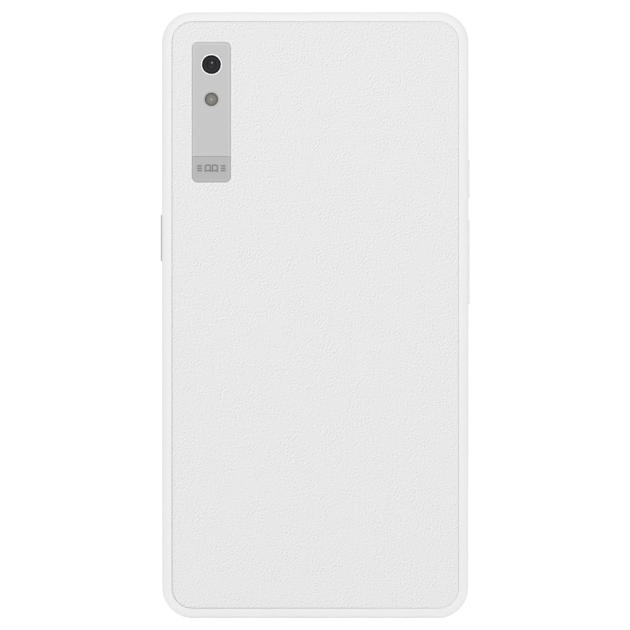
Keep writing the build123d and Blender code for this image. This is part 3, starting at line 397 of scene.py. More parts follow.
# Strength of the creases outside and inside patches, and the noise values that part them
PATCH_STRENGTH = (0.60, 1.10)
PATCH_LIMITS = (0.40, 0.60)
PORE = 0.16 * MM
PORE_SHARE = 0.1
SKIN_ROUGHNESS = (0.55, 0.7)
SKIN_SHINE = 0.35
# Painted highlight on the skin round the camera strip, a lighter band along its rolled lip, a little darker
# at the gap: millimetres outside the strip, tone
LIP_HIGHLIGHT_REACH = 2.0
LIP_HIGHLIGHT_TONES = ((0.05, 0.96), (0.12, 1.0), (0.36, 1.0), (0.60, 0.945))
APERTURE_CORNER = 1.5 * MM


def creased_panel():
    """White embossed skin: short diagonal creases in patches, with painted shade on one flank and painted
    light on the other, a painted highlight round the camera strip, and fine pores.
    """
    material, tree, shader = new_material("panel_textured")
    warp = tree.nodes.new("ShaderNodeTexNoise")
    warp.inputs["Scale"].default_value = 1 / WARP_PITCH
    tree.links.new(add_place(tree), warp.inputs["Vector"])
    warped = tree.nodes.new("ShaderNodeVectorMath")
    warped.operation = "MULTIPLY_ADD"
    warped.inputs[1].default_value = (WARP_REACH, WARP_REACH, WARP_REACH)
    tree.links.new(warp.outputs["Color"], warped.inputs[0])
    tree.links.new(add_point(tree), warped.inputs[2])
    flanks = []
    for side in (-1, 1):
        offset = side * CREASE_FLANK / math.sqrt(2)
        scale = (CREASE_PITCH, 1.0, CREASE_RUN)
        place = add_place(tree, scale, (0, CREASE_TURN, 0), (offset, 0, offset), warped.outputs["Vector"])
        flanks.append(add_noise(tree, 1.0, COARSE_DETAIL, place))
    patches = add_range(tree, add_noise(tree, 1 / PATCH, COARSE_DETAIL), *PATCH_STRENGTH, *PATCH_LIMITS)
    pores = add_noise(tree, 1 / PORE)
    slope = add_math(tree, "MULTIPLY", add_math(tree, "SUBTRACT", *flanks), patches)
    # Painted shade and light: each crease's flanks are darker or lighter by their slope
    tone = add_profile(tree, add_math(tree, "ADD", slope, LEVEL_SLOPE), CREASE_SHADE_TONES, 1.0)
    # Painted highlight along the rolled lip round the camera strip
    outside = add_math(tree, "SUBTRACT", 0.0, add_inset(tree, *strip_box(), APERTURE_CORNER))
    lip_highlight = add_profile(tree, outside, LIP_HIGHLIGHT_TONES, LIP_HIGHLIGHT_REACH)
    tree.links.new(add_product(tree, tone, lip_highlight), shader.inputs["Base Color"])
    tree.links.new(add_range(tree, pores, *SKIN_ROUGHNESS), shader.inputs["Roughness"])
    shader.inputs["Specular IOR Level"].default_value = SKIN_SHINE
    creases = add_math(tree, "MULTIPLY", flanks[0], patches)
    height = add_math(tree, "ADD", creases, add_math(tree, "MULTIPLY", pores, PORE_SHARE))
    add_bump(tree, shader, height, CREASE_DEPTH)
    return material


# ---------------------------------------------------------------- the camera strip

# Tones across the flash lens, the plate round it, the strip's edge and the join of its two plates: painted
# shade towards the lens's wall, round the flash and on the bevel, and painted highlights at the bevel's foot
# and above the join.
# Distance in millimetres, tone
FLASH_REACH = 2.0
FLASH_TONES_AND_SHADE = ((0.16, 0.60), (0.30, 0.28), (1.12, 0.26), (1.36, 0.20), (1.56, 0.14))
HALO_REACH = 3.0
HALO_SHADE_TONES = ((1.74, 0.72), (1.92, 0.90), (2.32, 1.0))
EDGE_REACH = 2.0
EDGE_SHADE_AND_HIGHLIGHT_TONES = (
    (0.0, 0.73),
    (0.10, 0.77),
    (0.34, 0.80),
    (0.48, 1.0),
    (0.60, 1.0),
    (0.72, 0.837),
    (1.0, 0.856),
)
JOIN_REACH = 2.0
JOIN_HIGHLIGHT_TONES = ((0.05, 1.0), (0.30, 1.0), (0.42, 0.91))
STRIP_GRAIN = 0.1 * MM
STRIP_CLOUD = 9 * MM
STRIP_SPREAD = 0.008
STRIP_ROUGHNESS = (0.27, 0.34)
STRIP_RELIEF = 0.0015 * MM
FLASH_CLOUD = 0.4 * MM
FLASH_WARM = ((0.90, 0.88, 0.77), (1.0, 0.985, 0.88))
FLASH_ROUGHNESS = (0.3, 0.45)
FLASH_SHINE = 0.3
FLASH_RELIEF = 0.003 * MM
NAP = 0.08 * MM
NAP_TONES = ((0.004, 0.004, 0.004), (0.009, 0.009, 0.010))
NAP_ROUGHNESS = (0.8, 0.95)
NAP_SHINE = 0.06
NAP_RELIEF = 0.01 * MM


def flash_diffuser():
    """Warm grey moulded lens, bright at its middle, with painted shade darkening it towards its wall."""
    material, tree, shader = new_material("flash_diffuser")
    cloud = add_noise(tree, 1 / FLASH_CLOUD, FINE_DETAIL)
    warm = add_ramp(tree, cloud, *FLASH_WARM)
    # Lighter middle, and painted shade towards the lens's wall
    tone = add_profile(tree, add_radius(tree, centre_of("flash_window")), FLASH_TONES_AND_SHADE, FLASH_REACH)
    tree.links.new(add_product(tree, warm, tone), shader.inputs["Base Color"])
    tree.links.new(add_range(tree, cloud, *FLASH_ROUGHNESS), shader.inputs["Roughness"])
    shader.inputs["Specular IOR Level"].default_value = FLASH_SHINE
    add_bump(tree, shader, cloud, FLASH_RELIEF)
    return material


def strip_finish(name, colour):
    """Satin plate of the camera strip: painted shade on its bevel and a painted highlight at the bevel's
    foot; the upper plate also has painted shade round the flash and a painted highlight above the join of the
    two plates.
    """
    material, tree, shader = new_material(name)
    grain = add_noise(tree, 1 / STRIP_GRAIN, FINE_DETAIL)
    cloud = add_noise(tree, 1 / STRIP_CLOUD)
    base = add_ramp(tree, cloud, *shades(colour, STRIP_SPREAD))
    # Painted shade on the bevel, darkest at its outer edge, and a painted highlight at its foot
    edge = add_profile(tree, add_inset(tree, *strip_box(), APERTURE_CORNER), EDGE_SHADE_AND_HIGHLIGHT_TONES, EDGE_REACH)
    tone = add_product(tree, base, edge)
    if name == "plate_grey":
        # Painted shade on the plate round the flash
        halo_shade = add_profile(tree, add_radius(tree, centre_of("flash_window")), HALO_SHADE_TONES, HALO_REACH)
        # Painted highlight on the plate just above the join of the two plates
        rise = add_math(tree, "SUBTRACT", add_axes(tree)["Z"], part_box("camera_plate")[0].z)
        join_highlight = add_profile(tree, add_math(tree, "DIVIDE", rise, MM), JOIN_HIGHLIGHT_TONES, JOIN_REACH)
        tone = add_product(tree, add_product(tree, tone, halo_shade), join_highlight)
    tree.links.new(tone, shader.inputs["Base Color"])
    tree.links.new(add_range(tree, grain, *STRIP_ROUGHNESS), shader.inputs["Roughness"])
    add_bump(tree, shader, grain, STRIP_RELIEF)
    return material


def mark_ink():
    """Darker etched finish of the mark."""
    return grained("mark_ink", colour=grey(0.20), roughness=0.45, grain=0.1, relief=0.002, spread=0.03)


def matte_black():
    """Deep black flocked finish that gives almost no reflection."""
    material, tree, shader = new_material("barrel_black")
    nap = add_noise(tree, 1 / NAP)
    tree.links.new(add_ramp(tree, nap, *NAP_TONES), shader.inputs["Base Color"])
    tree.links.new(add_range(tree, nap, *NAP_ROUGHNESS), shader.inputs["Roughness"])
    shader.inputs["Specular IOR Level"].default_value = NAP_SHINE
    add_bump(tree, shader, nap, NAP_RELIEF)
    return material


# ---------------------------------------------------------------- the screen and the inside

CAPSULE = 0.09 * MM
PAGE_CLOUD = 30 * MM
CAPSULE_SHARE = 0.6
PAGE_TONES = ((0.50, 0.505, 0.48), (0.57, 0.575, 0.55))
PAGE_ROUGHNESS = (0.75, 0.9)
PAGE_RELIEF = 0.003 * MM
# A wave texture repeats every pi / (10 * scale) metres
WIRE_SCALE = 400.0
WIRE_TONES = (0.01, 0.10)
WIRE_ROUGHNESS = (0.7, 0.4)
WIRE_METAL = 0.6
WIRE_RELIEF = 0.05 * MM
TRACK_GAP = 0.08
TRACK_LENGTH = 2.4
TRACK_PITCH = 0.8
BOARD_TONES = ((0.01, 0.07, 0.035), (0.03, 0.14, 0.07))
BOARD_ROUGHNESS = (0.32, 0.42)
BOARD_RELIEF = 0.03 * MM
FLEX_SCALE = 200.0
FLEX_BEND = 0.4
FLEX_TONES = ((0.42, 0.19, 0.04), (0.62, 0.33, 0.10))
FLEX_ROUGHNESS = (0.3, 0.45)
FLEX_RELIEF = 0.01 * MM


def electronic_paper():
    """Unlit grey page: fine capsule grain and faint broad clouds."""
    material, tree, shader = new_material("epaper_grey")
    grain = add_noise(tree, 1 / CAPSULE, FINE_DETAIL)
    cloud = add_noise(tree, 1 / PAGE_CLOUD)
    fine = add_math(tree, "MULTIPLY", grain, CAPSULE_SHARE)
    both = add_math(tree, "ADD", fine, add_math(tree, "MULTIPLY", cloud, 1 - CAPSULE_SHARE))
    tree.links.new(add_ramp(tree, both, *PAGE_TONES), shader.inputs["Base Color"])
    tree.links.new(add_range(tree, grain, *PAGE_ROUGHNESS), shader.inputs["Roughness"])
    add_bump(tree, shader, grain, PAGE_RELIEF)
    return material


def woven_mesh():
    """Black wire mesh: crossed wires with a hole in each cell."""
    material, tree, shader = new_material("mesh_steel")
    wires = []
    for turn in (0, math.pi / 2):
        wave = tree.nodes.new("ShaderNodeTexWave")
        wave.inputs["Scale"].default_value = WIRE_SCALE
        tree.links.new(add_place(tree, turn=(0, 0, turn)), wave.inputs["Vector"])
        wires.append(wave.outputs["Fac"])
    height = add_math(tree, "MAXIMUM", *wires)
    colour = add_ramp(tree, height, *(grey(tone) for tone in WIRE_TONES))
    tree.links.new(colour, shader.inputs["Base Color"])
    tree.links.new(add_range(tree, height, *WIRE_ROUGHNESS), shader.inputs["Roughness"])
    shader.inputs["Metallic"].default_value = WIRE_METAL
    add_bump(tree, shader, height, WIRE_RELIEF)
    return material


def circuit_board():
    """Dark solder mask over raised copper tracks and lighter pads."""
    material, tree, shader = new_material("board_green")
    tracks = tree.nodes.new("ShaderNodeTexBrick")
    tracks.inputs["Scale"].default_value = 1.0
    tracks.inputs["Mortar Size"].default_value = TRACK_GAP
    tracks.inputs["Brick Width"].default_value = TRACK_LENGTH
    tracks.inputs["Row Height"].default_value = TRACK_PITCH
    tree.links.new(add_place(tree, (MM, MM, MM), (math.pi / 2, 0, 0)), tracks.inputs["Vector"])
    lines = tracks.outputs["Fac"]
    tree.links.new(add_ramp(tree, lines, *BOARD_TONES), shader.inputs["Base Color"])
    tree.links.new(add_range(tree, lines, *BOARD_ROUGHNESS), shader.inputs["Roughness"])
    add_bump(tree, shader, lines, BOARD_RELIEF)
    return material


def flex_circuit():
    """Amber film over close parallel copper tracks."""
    material, tree, shader = new_material("flex_amber")
    wave = tree.nodes.new("ShaderNodeTexWave")
    wave.inputs["Scale"].default_value = FLEX_SCALE
    wave.inputs["Distortion"].default_value = FLEX_BEND
    tree.links.new(add_place(tree), wave.inputs["Vector"])
    lines = wave.outputs["Fac"]
    tree.links.new(add_ramp(tree, lines, *FLEX_TONES), shader.inputs["Base Color"])
    tree.links.new(add_range(tree, lines, *FLEX_ROUGHNESS), shader.inputs["Roughness"])
    add_bump(tree, shader, lines, FLEX_RELIEF)
    return material


# ---------------------------------------------------------------- finishes by material slot

# Grained slots: colour, roughness, metallic, grain, relief, spread and stretch
PLAIN = {
    "frame_white": dict(colour=grey(0.845), roughness=0.42, grain=0.12, relief=0.002, spread=0.006),
    # key_white is lighter than frame_white though the keys are the frame's white: painted light on keys that
    # sit in the frame's shade
    "key_white": dict(colour=grey(0.96), roughness=0.4, grain=0.12, relief=0.002, spread=0.006),
    "border_white": dict(colour=(0.80, 0.80, 0.79), roughness=0.5, grain=0.2, relief=0.001, spread=0.005),
    "button_grey": dict(colour=grey(0.50), roughness=0.4, metallic=0.3, grain=0.1, relief=0.004),
    "sensor_grey": dict(colour=(0.45, 0.45, 0.455), roughness=0.25, grain=0.1, relief=0.001),
    "ring_metal": dict(colour=(0.97, 0.97, 0.96), roughness=0.3, metallic=1.0, grain=0.06, relief=0.001),
    "spring_steel": dict(colour=(0.66, 0.65, 0.62), roughness=0.18, metallic=1.0, relief=0.001),
    "screw_steel": dict(colour=(0.40, 0.40, 0.41), roughness=0.28, metallic=1.0, relief=0.003),
    "mic_metal": dict(colour=(0.66, 0.56, 0.34), roughness=0.3, metallic=1.0, relief=0.002),
    "antenna_copper": dict(colour=(0.72, 0.42, 0.24), roughness=0.35, metallic=1.0, relief=0.002),
    "battery_foil": dict(colour=(0.25, 0.26, 0.27), roughness=0.35, metallic=0.8, grain=3.0, relief=0.03),
    "chip_black": dict(colour=(0.03, 0.03, 0.032), roughness=0.5, grain=0.15, relief=0.006, spread=0.08),
    "cover_black": dict(colour=(0.045, 0.045, 0.048), roughness=0.55, grain=0.2, relief=0.01, spread=0.06),
    "socket_ivory": dict(colour=(0.74, 0.68, 0.55), roughness=0.45, relief=0.003),
    "adhesive_black": dict(colour=grey(0.03), roughness=0.85, grain=0.3, relief=0.02, spread=0.1),
    "seal_rubber": dict(colour=grey(0.08), roughness=0.75, grain=0.2, relief=0.01, spread=0.05),
    "led_phosphor": dict(colour=(0.85, 0.70, 0.22), roughness=0.5, grain=0.1, relief=0.004, spread=0.05),
    "backplane_glass": dict(colour=(0.16, 0.18, 0.18), roughness=0.2, grain=0.3, relief=0.001, spread=0.03),
}
# Rolled sheet metals: colour, roughness, relief and the way their grain is stretched
ROLLED = {
    "chassis_steel": dict(colour=(0.55, 0.55, 0.54), roughness=0.35, relief=0.002, stretch=(1, 1, 30)),
    "bracket_steel": dict(colour=(0.55, 0.55, 0.54), roughness=0.3, relief=0.002, stretch=(1, 1, 20)),
    "shield_tin": dict(colour=(0.62, 0.61, 0.58), roughness=0.3, relief=0.003, stretch=(12, 1, 1)),
    "usb_steel": dict(colour=(0.60, 0.60, 0.61), roughness=0.22, relief=0.002, stretch=(1, 1, 15)),
}
# Clear slots: colour, roughness and alpha
CLEAR = {
    "lens_glass": dict(colour=(0.80, 0.81, 0.81), roughness=0.3, alpha=0.08),
    "touch_glass": dict(colour=(0.85, 0.86, 0.86), roughness=0.3, alpha=0.03),
    "guide_clear": dict(colour=(0.86, 0.87, 0.86), roughness=0.3, alpha=0.03),
}
# Dark glasses: colour and shine
DARK = {
    "window_dark": dict(colour=(0.006, 0.006, 0.007), level=0.42),
    "lens_optic": dict(colour=(0.001, 0.002, 0.007), level=0.43),
}
STRIP = {
    "plate_grey": (0.699, 0.699, 0.711),
    "badge_grey": grey(0.528),
}
SPECIAL = {
    "panel_textured": creased_panel,
    "barrel_black": matte_black,
    "epaper_grey": electronic_paper,
    "mesh_steel": woven_mesh,
    "board_green": circuit_board,
    "flex_amber": flex_circuit,
    "flash_diffuser": flash_diffuser,
}
# Nodes whose finish is that of another slot: the tray's door matches the frame round it
FINISHES = {"card_tray": "frame_white"}


def make_materials():
    """Every material slot of the record, by name."""
    made = {name: grained(name, **look) for name, look in PLAIN.items()}
    made.update({name: grained(name, metallic=1.0, **look) for name, look in ROLLED.items()})
    made.update({name: clear(name, **look) for name, look in CLEAR.items()})
    made.update({name: dark_glass(name, **look) for name, look in DARK.items()})
    made.update({name: strip_finish(name, colour) for name, colour in STRIP.items()})
    made.update({name: make() for name, make in SPECIAL.items()})
    return made


def dress_nodes(materials):
    """Give every CAD node the material of its slot."""
    for row in frame["record"]["subparts"]:
        node = frame["nodes"][row["node"]]
        node.data.materials.clear()
        node.data.materials.append(materials[FINISHES.get(row["node"], row["material_slot"])])


# ---------------------------------------------------------------- pieces

LEAST_ARC_STEPS = 4


def new_piece(name, vertices, faces, material, body, smooth=True):
    """A mesh piece that rides on body and takes its finish from slot."""
    mesh = bpy.data.meshes.new(name)
    mesh.from_pydata(vertices, [], faces)
    mesh.validate()
    mesh.materials.append(material)
    for polygon in mesh.polygons:
        polygon.use_smooth = smooth
    piece = bpy.data.objects.new(name, mesh)
    bpy.context.scene.collection.objects.link(piece)
    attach(piece, body)
    return piece


def tidy_normals(piece):
    """Turn all faces outwards."""
    cleaner = bmesh.new()
    cleaner.from_mesh(piece.data)
    bmesh.ops.recalc_face_normals(cleaner, faces=cleaner.faces)
    cleaner.to_mesh(piece.data)
    cleaner.free()


def add_walls(faces, starts, count):
    """Four-sided faces between neighbouring rings of count vertices, given by the rings' first vertices."""
    for first, second in zip(starts, starts[1:]):
        for i in range(count):
            j = (i + 1) % count
            faces.append((first + i, first + j, second + j, second + i))


def rounded_loop(low, high, corner, grow, pitch):
    """Points round a rounded rectangle, grown by grow on each side, evenly enough at every grow."""
    half_x = (high[0] - low[0]) / 2
    half_z = (high[1] - low[1]) / 2
    middle = ((low[0] + high[0]) / 2, (low[1] + high[1]) / 2)
    flats = (half_x - corner, half_z - corner)
    radius = corner + grow
    arc_steps = max(LEAST_ARC_STEPS, round(corner * math.pi / 2 / pitch))
    loop = []
    for turn, (side_x, side_z) in enumerate(((1, 1), (-1, 1), (-1, -1), (1, -1))):
        centre = (middle[0] + side_x * flats[0], middle[1] + side_z * flats[1])
        for step in range(arc_steps + 1):
            angle = math.pi / 2 * (turn + step / arc_steps)
            loop.append((centre[0] + radius * math.cos(angle), centre[1] + radius * math.sin(angle)))
        flat = 2 * (flats[0] if turn % 2 == 0 else flats[1])
        steps = max(1, round(flat / pitch))
        direction = (-side_x if turn % 2 == 0 else 0, -side_z if turn % 2 else 0)
        start = loop[-1]
        for step in range(1, steps):
            reach = flat * step / steps
            loop.append((start[0] + direction[0] * reach, start[1] + direction[1] * reach))
    return loop


def inside_rounded(x, z, low, high, corner, margin):
    """Whether a point lies inside a rounded rectangle and at least margin from its edge."""
    half = ((high[0] - low[0]) / 2, (high[1] - low[1]) / 2)
    offset = (abs(x - (low[0] + high[0]) / 2), abs(z - (low[1] + high[1]) / 2))
    beyond = [o - h + corner for o, h in zip(offset, half)]
    distance = math.hypot(max(beyond[0], 0), max(beyond[1], 0)) + min(max(beyond), 0) - corner
    return distance < -margin


# ---------------------------------------------------------------- the embossed back's shape

PANEL_CORNER = 5.2 * MM
PANEL_GROW = 0.12 * MM
APERTURE_GAP = 0.02 * MM
ROLL = 0.34 * MM
ROLL_DROP = 0.16 * MM
ROLL_STEPS = 5
ROLL_PITCH = 0.4 * MM
# Size of the roll round the camera strip, against the one round the panel
LIP_SCALE = 0.06
# How much the roll's drop varies from side to side and along the length, and its most and least share
SEAM_ACROSS = 0.7
SEAM_ALONG = 0.4
SEAM_DEEPEST = 2.2
SEAM_SHALLOWEST = 0.3
STROKE_TURN = math.radians(-134)
STROKE_LONG = 0.43 * MM
STROKE_WIDE = 0.275 * MM
RELIEF_DEPTH = 0.06 * MM
RELIEF_LONG = 1.7 * MM
RELIEF_WIDE = 0.75 * MM
RELIEF_DRIFT = 1.3 * MM
DRIFT_PITCH = 6 * MM
# The vector noise depends on a seed, which is the time of day unless it is set
DRIFT_SEED = 7
# Finer strokes: their size and their depth against the main ones
FINER_SIZE = 0.6
FINER_SHARE = 0.4
RELIEF_PATCH = 3.4 * MM
PATCH_MEAN = 0.62
PATCH_SWING = 1.3
PATCH_WEAKEST = 0.15
# Places in the noise, away from each other, of the finer strokes and of the patches
FINER_LAYER = 7
PATCH_LAYER = 3
MERGE_DISTANCE = 1e-9
HOLE_MARGIN = 1e-6


def turned(point, angle):
    """A flat point turned about the origin."""
    x, z = point
    return (x * math.cos(angle) - z * math.sin(angle), x * math.sin(angle) + z * math.cos(angle))


def drifted(x, z):
    """A point moved a little, differently from place to place, so that strokes meander."""
    where = Vector((x, z, 0)) / DRIFT_PITCH
    shift = noise.noise_vector(where) * RELIEF_DRIFT
    return (x + shift.x, z + shift.y)


def crease(x, z):
    """Height of the embossed skin over its mean: short diagonal strokes, gathered in patches."""
    along, across = turned(drifted(x, z), STROKE_TURN)
    long, wide = (FINER_SIZE * size for size in (RELIEF_LONG, RELIEF_WIDE))
    stroke = noise.noise(Vector((along / RELIEF_LONG, across / RELIEF_WIDE, 0)))
    finer = noise.noise(Vector((along / long, across / wide, FINER_LAYER)))
    patch = noise.noise(Vector((x / RELIEF_PATCH, z / RELIEF_PATCH, PATCH_LAYER)))
    strength = min(1.0, max(PATCH_WEAKEST, PATCH_MEAN + PATCH_SWING * patch))
    return RELIEF_DEPTH * strength * (stroke + FINER_SHARE * finer)


def lattice(low, high):
    """Points across a rectangle on a grid that lies along the strokes."""
    centre = ((low[0] + high[0]) / 2, (low[1] + high[1]) / 2)
    reach = math.hypot(high[0] - low[0], high[1] - low[1]) / 2
    columns = int(reach / STROKE_LONG)
    rows = int(reach / STROKE_WIDE)
    for row in range(-rows, rows + 1):
        for column in range(-columns, columns + 1):
            along = (column + 0.5 * (row % 2)) * STROKE_LONG
            x, z = turned((along, row * STROKE_WIDE), -STROKE_TURN)
            yield (centre[0] + x, centre[1] + z)


def seam_depth(x, z, low, high):
    """Share of the roll's drop: the panel sits deeper along its +X and lower edges than along the others."""
    across = (2 * x - low[0] - high[0]) / (high[0] - low[0])
    along = (2 * z - low[1] - high[1]) / (high[1] - low[1])
    return min(SEAM_DEEPEST, max(SEAM_SHALLOWEST, 1 + SEAM_ACROSS * across - SEAM_ALONG * along))


def flat_outlines(vertices, rims):
    """Flat points, the edges between them and their vertices, for rings given by first vertex and count."""
    points = []
    edges = []
    index = {}
    for start, count in rims:
        base = len(points)
        for i in range(count):
            index[base + i] = start + i
            x, _, z = vertices[start + i]
            points.append((x, z))
        edges.extend((base + i, base + (i + 1) % count) for i in range(count))
    return points, edges, index


def fill_flat(points, edges, index, faces, hole, shrink):
    """Triangles over flat points between their edges, left out inside the hole."""
    flat = [Vector(p) for p in points]
    made, _, triangles, origins, _, _ = delaunay_2d_cdt(flat, edges, [], 1, MERGE_DISTANCE)
    names = [index[origin[0]] for origin in origins]
    margin = HOLE_MARGIN - (APERTURE_GAP + shrink)
    for triangle in triangles:
        centre = sum((made[i] for i in triangle), Vector((0, 0))) / 3
        if not inside_rounded(centre.x, centre.y, *hole, APERTURE_CORNER, margin):
            faces.append(tuple(names[i] for i in triangle))


def panel_skin(material):
    """Embossed back skin in place of the flat CAD panel: rolled edges round it and round the camera strip."""
    noise.seed_set(DRIFT_SEED)
    low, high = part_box("back_panel")
    strip_low, strip_high = strip_box()
    outer = ((low.x, low.z), (high.x, high.z))
    strip = ((strip_low.x, strip_low.z), (strip_high.x, strip_high.z))
    rings = [(0.0, low.y)]
    for step in range(ROLL_STEPS + 1):
        angle = math.pi / 2 * step / ROLL_STEPS
        rings.append((ROLL * (1 - math.cos(angle)), high.y - ROLL_DROP * (1 - math.sin(angle))))
    vertices = []
    faces = []
    feet = []
    crests = []
    for (corner_low, corner_high), corner, edge, sign, scale in (
        (outer, PANEL_CORNER, PANEL_GROW, -1, 1.0),
        (strip, APERTURE_CORNER, APERTURE_GAP, 1, LIP_SCALE),
    ):
        starts = []
        for number, (inset, height) in enumerate(rings):
            loop = rounded_loop(corner_low, corner_high, corner, edge + sign * inset * scale, ROLL_PITCH)
            count = len(loop)
            starts.append(len(vertices))
            for x, z in loop:
                share = scale * seam_depth(x, z, *outer) if sign < 0 else scale
                level = high.y - (high.y - height) * share + crease(x, z) if number else height
                vertices.append((x, level, z))
        add_walls(faces, starts, count)
        feet.append((starts[0], count))
        crests.append((starts[-1], count))
    points, edges, index = flat_outlines(vertices, crests)
    margin = STROKE_LONG / 2
    for x, z in lattice(*outer):
        if not inside_rounded(x, z, *outer, PANEL_CORNER, ROLL - PANEL_GROW + margin):
            continue
        if inside_rounded(x, z, *strip, APERTURE_CORNER, -(APERTURE_GAP + ROLL * LIP_SCALE + margin)):
            continue
        index[len(points)] = len(vertices)
        points.append((x, z))
        vertices.append((x, high.y + crease(x, z), z))
    fill_flat(points, edges, index, faces, strip, ROLL * LIP_SCALE)
    fill_flat(*flat_outlines(vertices, feet), faces, strip, 0)
    piece = new_piece("panel_skin", vertices, faces, material, "device")
    tidy_normals(piece)
    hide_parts("back_panel")


# ---------------------------------------------------------------- the camera and flash glass

LATHE_STEPS = 72
# Millimetres throughout. The flash lens's bead: radius and rise over its face. Its rim: inset and rise
BEAD = ((0.0, 0.12), (0.12, 0.09), (0.2, 0.0))
FRESNEL_STEPS = 5
FRESNEL_DEPTH = 0.07
FRESNEL_CREST = 0.04
FLASH_BAND = 0.35
FLASH_RIM = ((0.30, 0.10), (0.08, 0.10), (0.0, 0.03))
FLASH_SKIRT = 0.7
PIPE = 1.3
WINDOW_EDGE = 0.06
WINDOW_LIP = 0.10
LENS_BORE = 1.25
LENS_CURVE = 4.4
LENS_DROP = 0.04
DOME_STEPS = 12


def lathe(name, profile, centre, material, smooth_rings=0):
    """A closed ring or disc turned about the axis through centre; profile is radius and depth in millimetres.
    The first smooth_rings spans of the profile are shaded as one smooth surface."""
    vertices = []
    faces = []
    smooth = []
    rings = []
    for radius, depth in profile:
        start = len(vertices)
        steps = LATHE_STEPS if radius > 0 else 1
        rings.append((start, steps))
        for step in range(steps):
            angle = 2 * math.pi * step / steps
            x = centre.x + radius * MM * math.cos(angle)
            z = centre.z + radius * MM * math.sin(angle)
            vertices.append((x, depth * MM, z))
    closed = profile[0][0] > 0
    pairs = list(zip(rings, rings[1:])) + ([(rings[-1], rings[0])] if closed else [])
    for span, ((first, first_steps), (second, second_steps)) in enumerate(pairs):
        for step in range(LATHE_STEPS):
            corners = (
                first + step % first_steps,
                first + (step + 1) % first_steps,
                second + (step + 1) % second_steps,
                second + step % second_steps,
            )
            faces.append(tuple(dict.fromkeys(corners)))
            smooth.append(span < smooth_rings)
    piece = new_piece(name, vertices, faces, material, "device", smooth=False)
    piece.data.polygons.foreach_set("use_smooth", smooth)
    tidy_normals(piece)
    return piece


def round_sizes(low, high):
    """Face, back and radius of a round CAD node from its box, in millimetres."""
    return high.y / MM, low.y / MM, (high.x - low.x) / 2 / MM


def flash_lens(material):
    """Moulded flash lens: a bead at its middle, ring grooves round it and a plain rim against the wall."""
    face, back, rim = round_sizes(*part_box("flash_window"))
    profile = [(radius, face + rise) for radius, rise in BEAD]
    bead = BEAD[-1][0]
    groove = (rim - FLASH_BAND - bead) / FRESNEL_STEPS
    for step in range(FRESNEL_STEPS):
        start = bead + step * groove
        profile.append((start + FRESNEL_CREST, face + FRESNEL_DEPTH))
        profile.append((start + groove, face))
    profile += [(rim - inset, face + rise) for inset, rise in FLASH_RIM]
    profile += [(rim, face - FLASH_SKIRT), (PIPE, face - FLASH_SKIRT), (PIPE, back), (0, back)]
    piece = lathe("flash_lens", profile, centre_of("flash_window"), material)
    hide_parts("flash_window")


def window_glass(material):
    """Camera window: a dark glass ring with polished edges, open over the front lens."""
    face, back, rim = round_sizes(*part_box("camera_window"))
    profile = [
        (LENS_BORE, back),
        (LENS_BORE, face - WINDOW_LIP),
        (LENS_BORE + WINDOW_EDGE, face),
        (rim - WINDOW_EDGE, face),
        (rim, face - WINDOW_EDGE),
        (rim, back),
    ]
    piece = lathe("window_glass", profile, centre_of("camera_window"), material)
    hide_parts("camera_window")


def front_lens(material):
    """Domed front element of the camera, just below the window's face."""
    face, foot, _ = round_sizes(*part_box("camera_window"))
    crown = face - LENS_DROP
    profile = [(0, crown)]
    for step in range(1, DOME_STEPS + 1):
        radius = LENS_BORE * step / DOME_STEPS
        profile.append((radius, crown - LENS_CURVE + math.sqrt(LENS_CURVE**2 - radius**2)))
    profile += [(LENS_BORE, foot), (0, foot)]
    lathe("front_lens", profile, centre_of("camera_window"), material, DOME_STEPS)


# ---------------------------------------------------------------- the mark

# Millimetres, but for the rise
MARK_WIDTH = 7.4
MARK_STROKE = 0.36
MARK_DROP = 0.27
MARK_RISE = 0.03 * MM
SPINE_HALF = 0.09
PAGE_WIDTH = 1.75
PAGE_HEIGHT = 1.8
PAGE_BOW = 0.28
PAGE_STEPS = 8
RULE_LENGTH = 1.2
RULE_PITCH = 0.62


def page_loop(x, z, side, inset):
    """Outline of one page of the open book, moved in by inset, its upper and lower edges bowed alike."""
    near = SPINE_HALF + inset
    far = PAGE_WIDTH - inset
    half = PAGE_HEIGHT / 2 - inset
    loop = []
    for way in (-1, 1):
        for step in range(PAGE_STEPS + 1):
            along = step / PAGE_STEPS if way < 0 else 1 - step / PAGE_STEPS
            reach = near + (far - near) * along
            bow = PAGE_BOW * (math.sin(math.pi * reach / PAGE_WIDTH) - 0.5)
            loop.append((x + side * reach, z + way * half + bow))
    return loop


def rule_loop(x, z):
    """Outline of one short rule."""
    half = RULE_LENGTH / 2
    rise = MARK_STROKE / 2
    return [(x - half, z - rise), (x + half, z - rise), (x + half, z + rise), (x - half, z + rise)]


def add_raised(vertices, faces, loops, levels):
    """Raised band between an outer and an inner outline, or a raised plate inside a lone outline.
    loops are in millimetres, levels are heights in metres."""
    start = len(vertices)
    count = len(loops[0])
    for loop in loops:
        for level in levels:
            vertices.extend((x * MM, level, z * MM) for x, z in loop)
    for number in range(len(loops)):
        base = start + 2 * number * count
        add_walls(faces, (base, base + count), count)
    for offset in (0, count):
        first = start + offset
        if len(loops) == 1:
            faces.append(tuple(range(first, first + count)))
        else:
            add_walls(faces, (first, first + 2 * count), count)


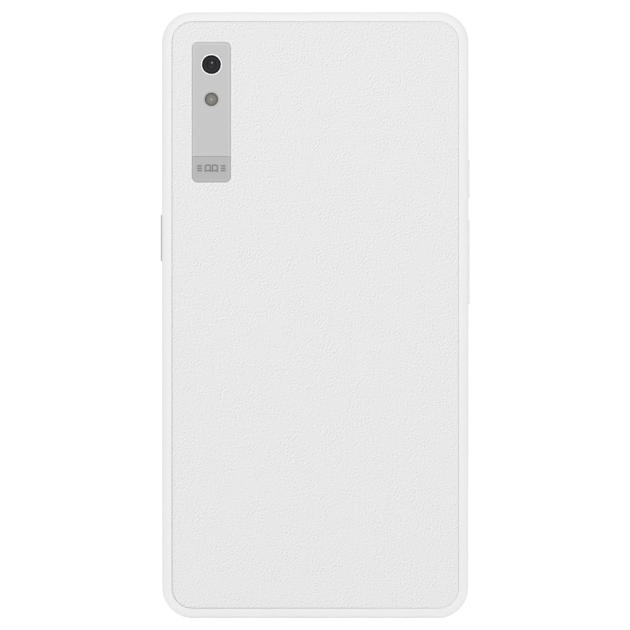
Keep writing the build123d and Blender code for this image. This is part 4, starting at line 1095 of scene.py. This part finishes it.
def book_mark(material):
    """Generic mark on the badge plate: an open book between two groups of short rules."""
    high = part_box("badge_plate")[1]
    levels = (high.y - MARK_RISE, high.y + MARK_RISE)
    middle = centre_of("badge_plate")
    x = middle.x / MM
    z = middle.z / MM + MARK_DROP
    vertices = []
    faces = []
    for side in (-1, 1):
        pages = [page_loop(x, z, side, inset) for inset in (0, MARK_STROKE)]
        add_raised(vertices, faces, pages, levels)
        for way in (-1, 0, 1):
            rule = rule_loop(x + side * (MARK_WIDTH - RULE_LENGTH) / 2, z + way * RULE_PITCH)
            add_raised(vertices, faces, [rule], levels)
    piece = new_piece("book_mark", vertices, faces, material, "device", smooth=False)
    tidy_normals(piece)


# ---------------------------------------------------------------- the screen's glass and the snap domes

GLASS_CORNER = 6.72 * MM
GLASS_EDGE = 0.08 * MM
GLASS_BACK = 0.02 * MM
GLASS_PITCH = 1.0 * MM
# Snap domes: name, CAD node, joint, side of the reader, and share of their height left at the joint's limit
SNAPS = (
    ("power_snap", "power_dome", "power_press", 1, 0.13),
    ("function_snap", "function_dome", "function_press", -1, 0.13),
    ("volume_snaps", "volume_domes", "volume_rock", -1, 0.48),
)


def front_glass(material):
    """One clear lens over the whole screen, with a small polished edge, for the stack of clear layers."""
    low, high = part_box("cover_lens")
    outline = ((low.x, low.z), (high.x, high.z))
    inner = high.y - GLASS_BACK
    rings = (
        (GLASS_EDGE, inner),
        (0, inner - GLASS_EDGE),
        (0, low.y + GLASS_EDGE),
        (GLASS_EDGE, low.y),
    )
    vertices = []
    faces = []
    starts = []
    for inset, depth in rings:
        loop = rounded_loop(*outline, GLASS_CORNER, -inset, GLASS_PITCH)
        count = len(loop)
        starts.append(len(vertices))
        vertices += [(x, depth, z) for x, z in loop]
    add_walls(faces, starts, count)
    faces.append(tuple(range(count - 1, -1, -1)))
    faces.append(tuple(range(starts[-1], starts[-1] + count)))
    piece = new_piece("front_glass", vertices, faces, material, "device", smooth=False)
    tidy_normals(piece)
    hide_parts("cover_lens", "touch_layer", "light_guide")


def pressed_domes(name, node, joint, side, keep, material):
    """Snap domes: a copy of the CAD node's mesh, riding on the device in its place."""
    source = frame["nodes"][node].data
    vertices = [tuple(vertex.co) for vertex in source.vertices]
    faces = [tuple(polygon.vertices) for polygon in source.polygons]
    piece = new_piece(name, vertices, faces, material, "device")
    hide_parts(node)
    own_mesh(piece)


# ---------------------------------------------------------------- the scene

add_world()
add_camera()
for name, (place, size, power) in SOFTBOXES.items():
    add_softbox(name, place, size, power)
add_floor()
materials = make_materials()
dress_nodes(materials)
panel_skin(materials["panel_textured"])
flash_lens(materials["flash_diffuser"])
window_glass(materials["window_dark"])
front_lens(materials["lens_optic"])
book_mark(mark_ink())
front_glass(materials["lens_glass"])
for snap in SNAPS:
    pressed_domes(*snap, materials["spring_steel"])

bpy.context.scene.view_settings.view_transform = "Standard"
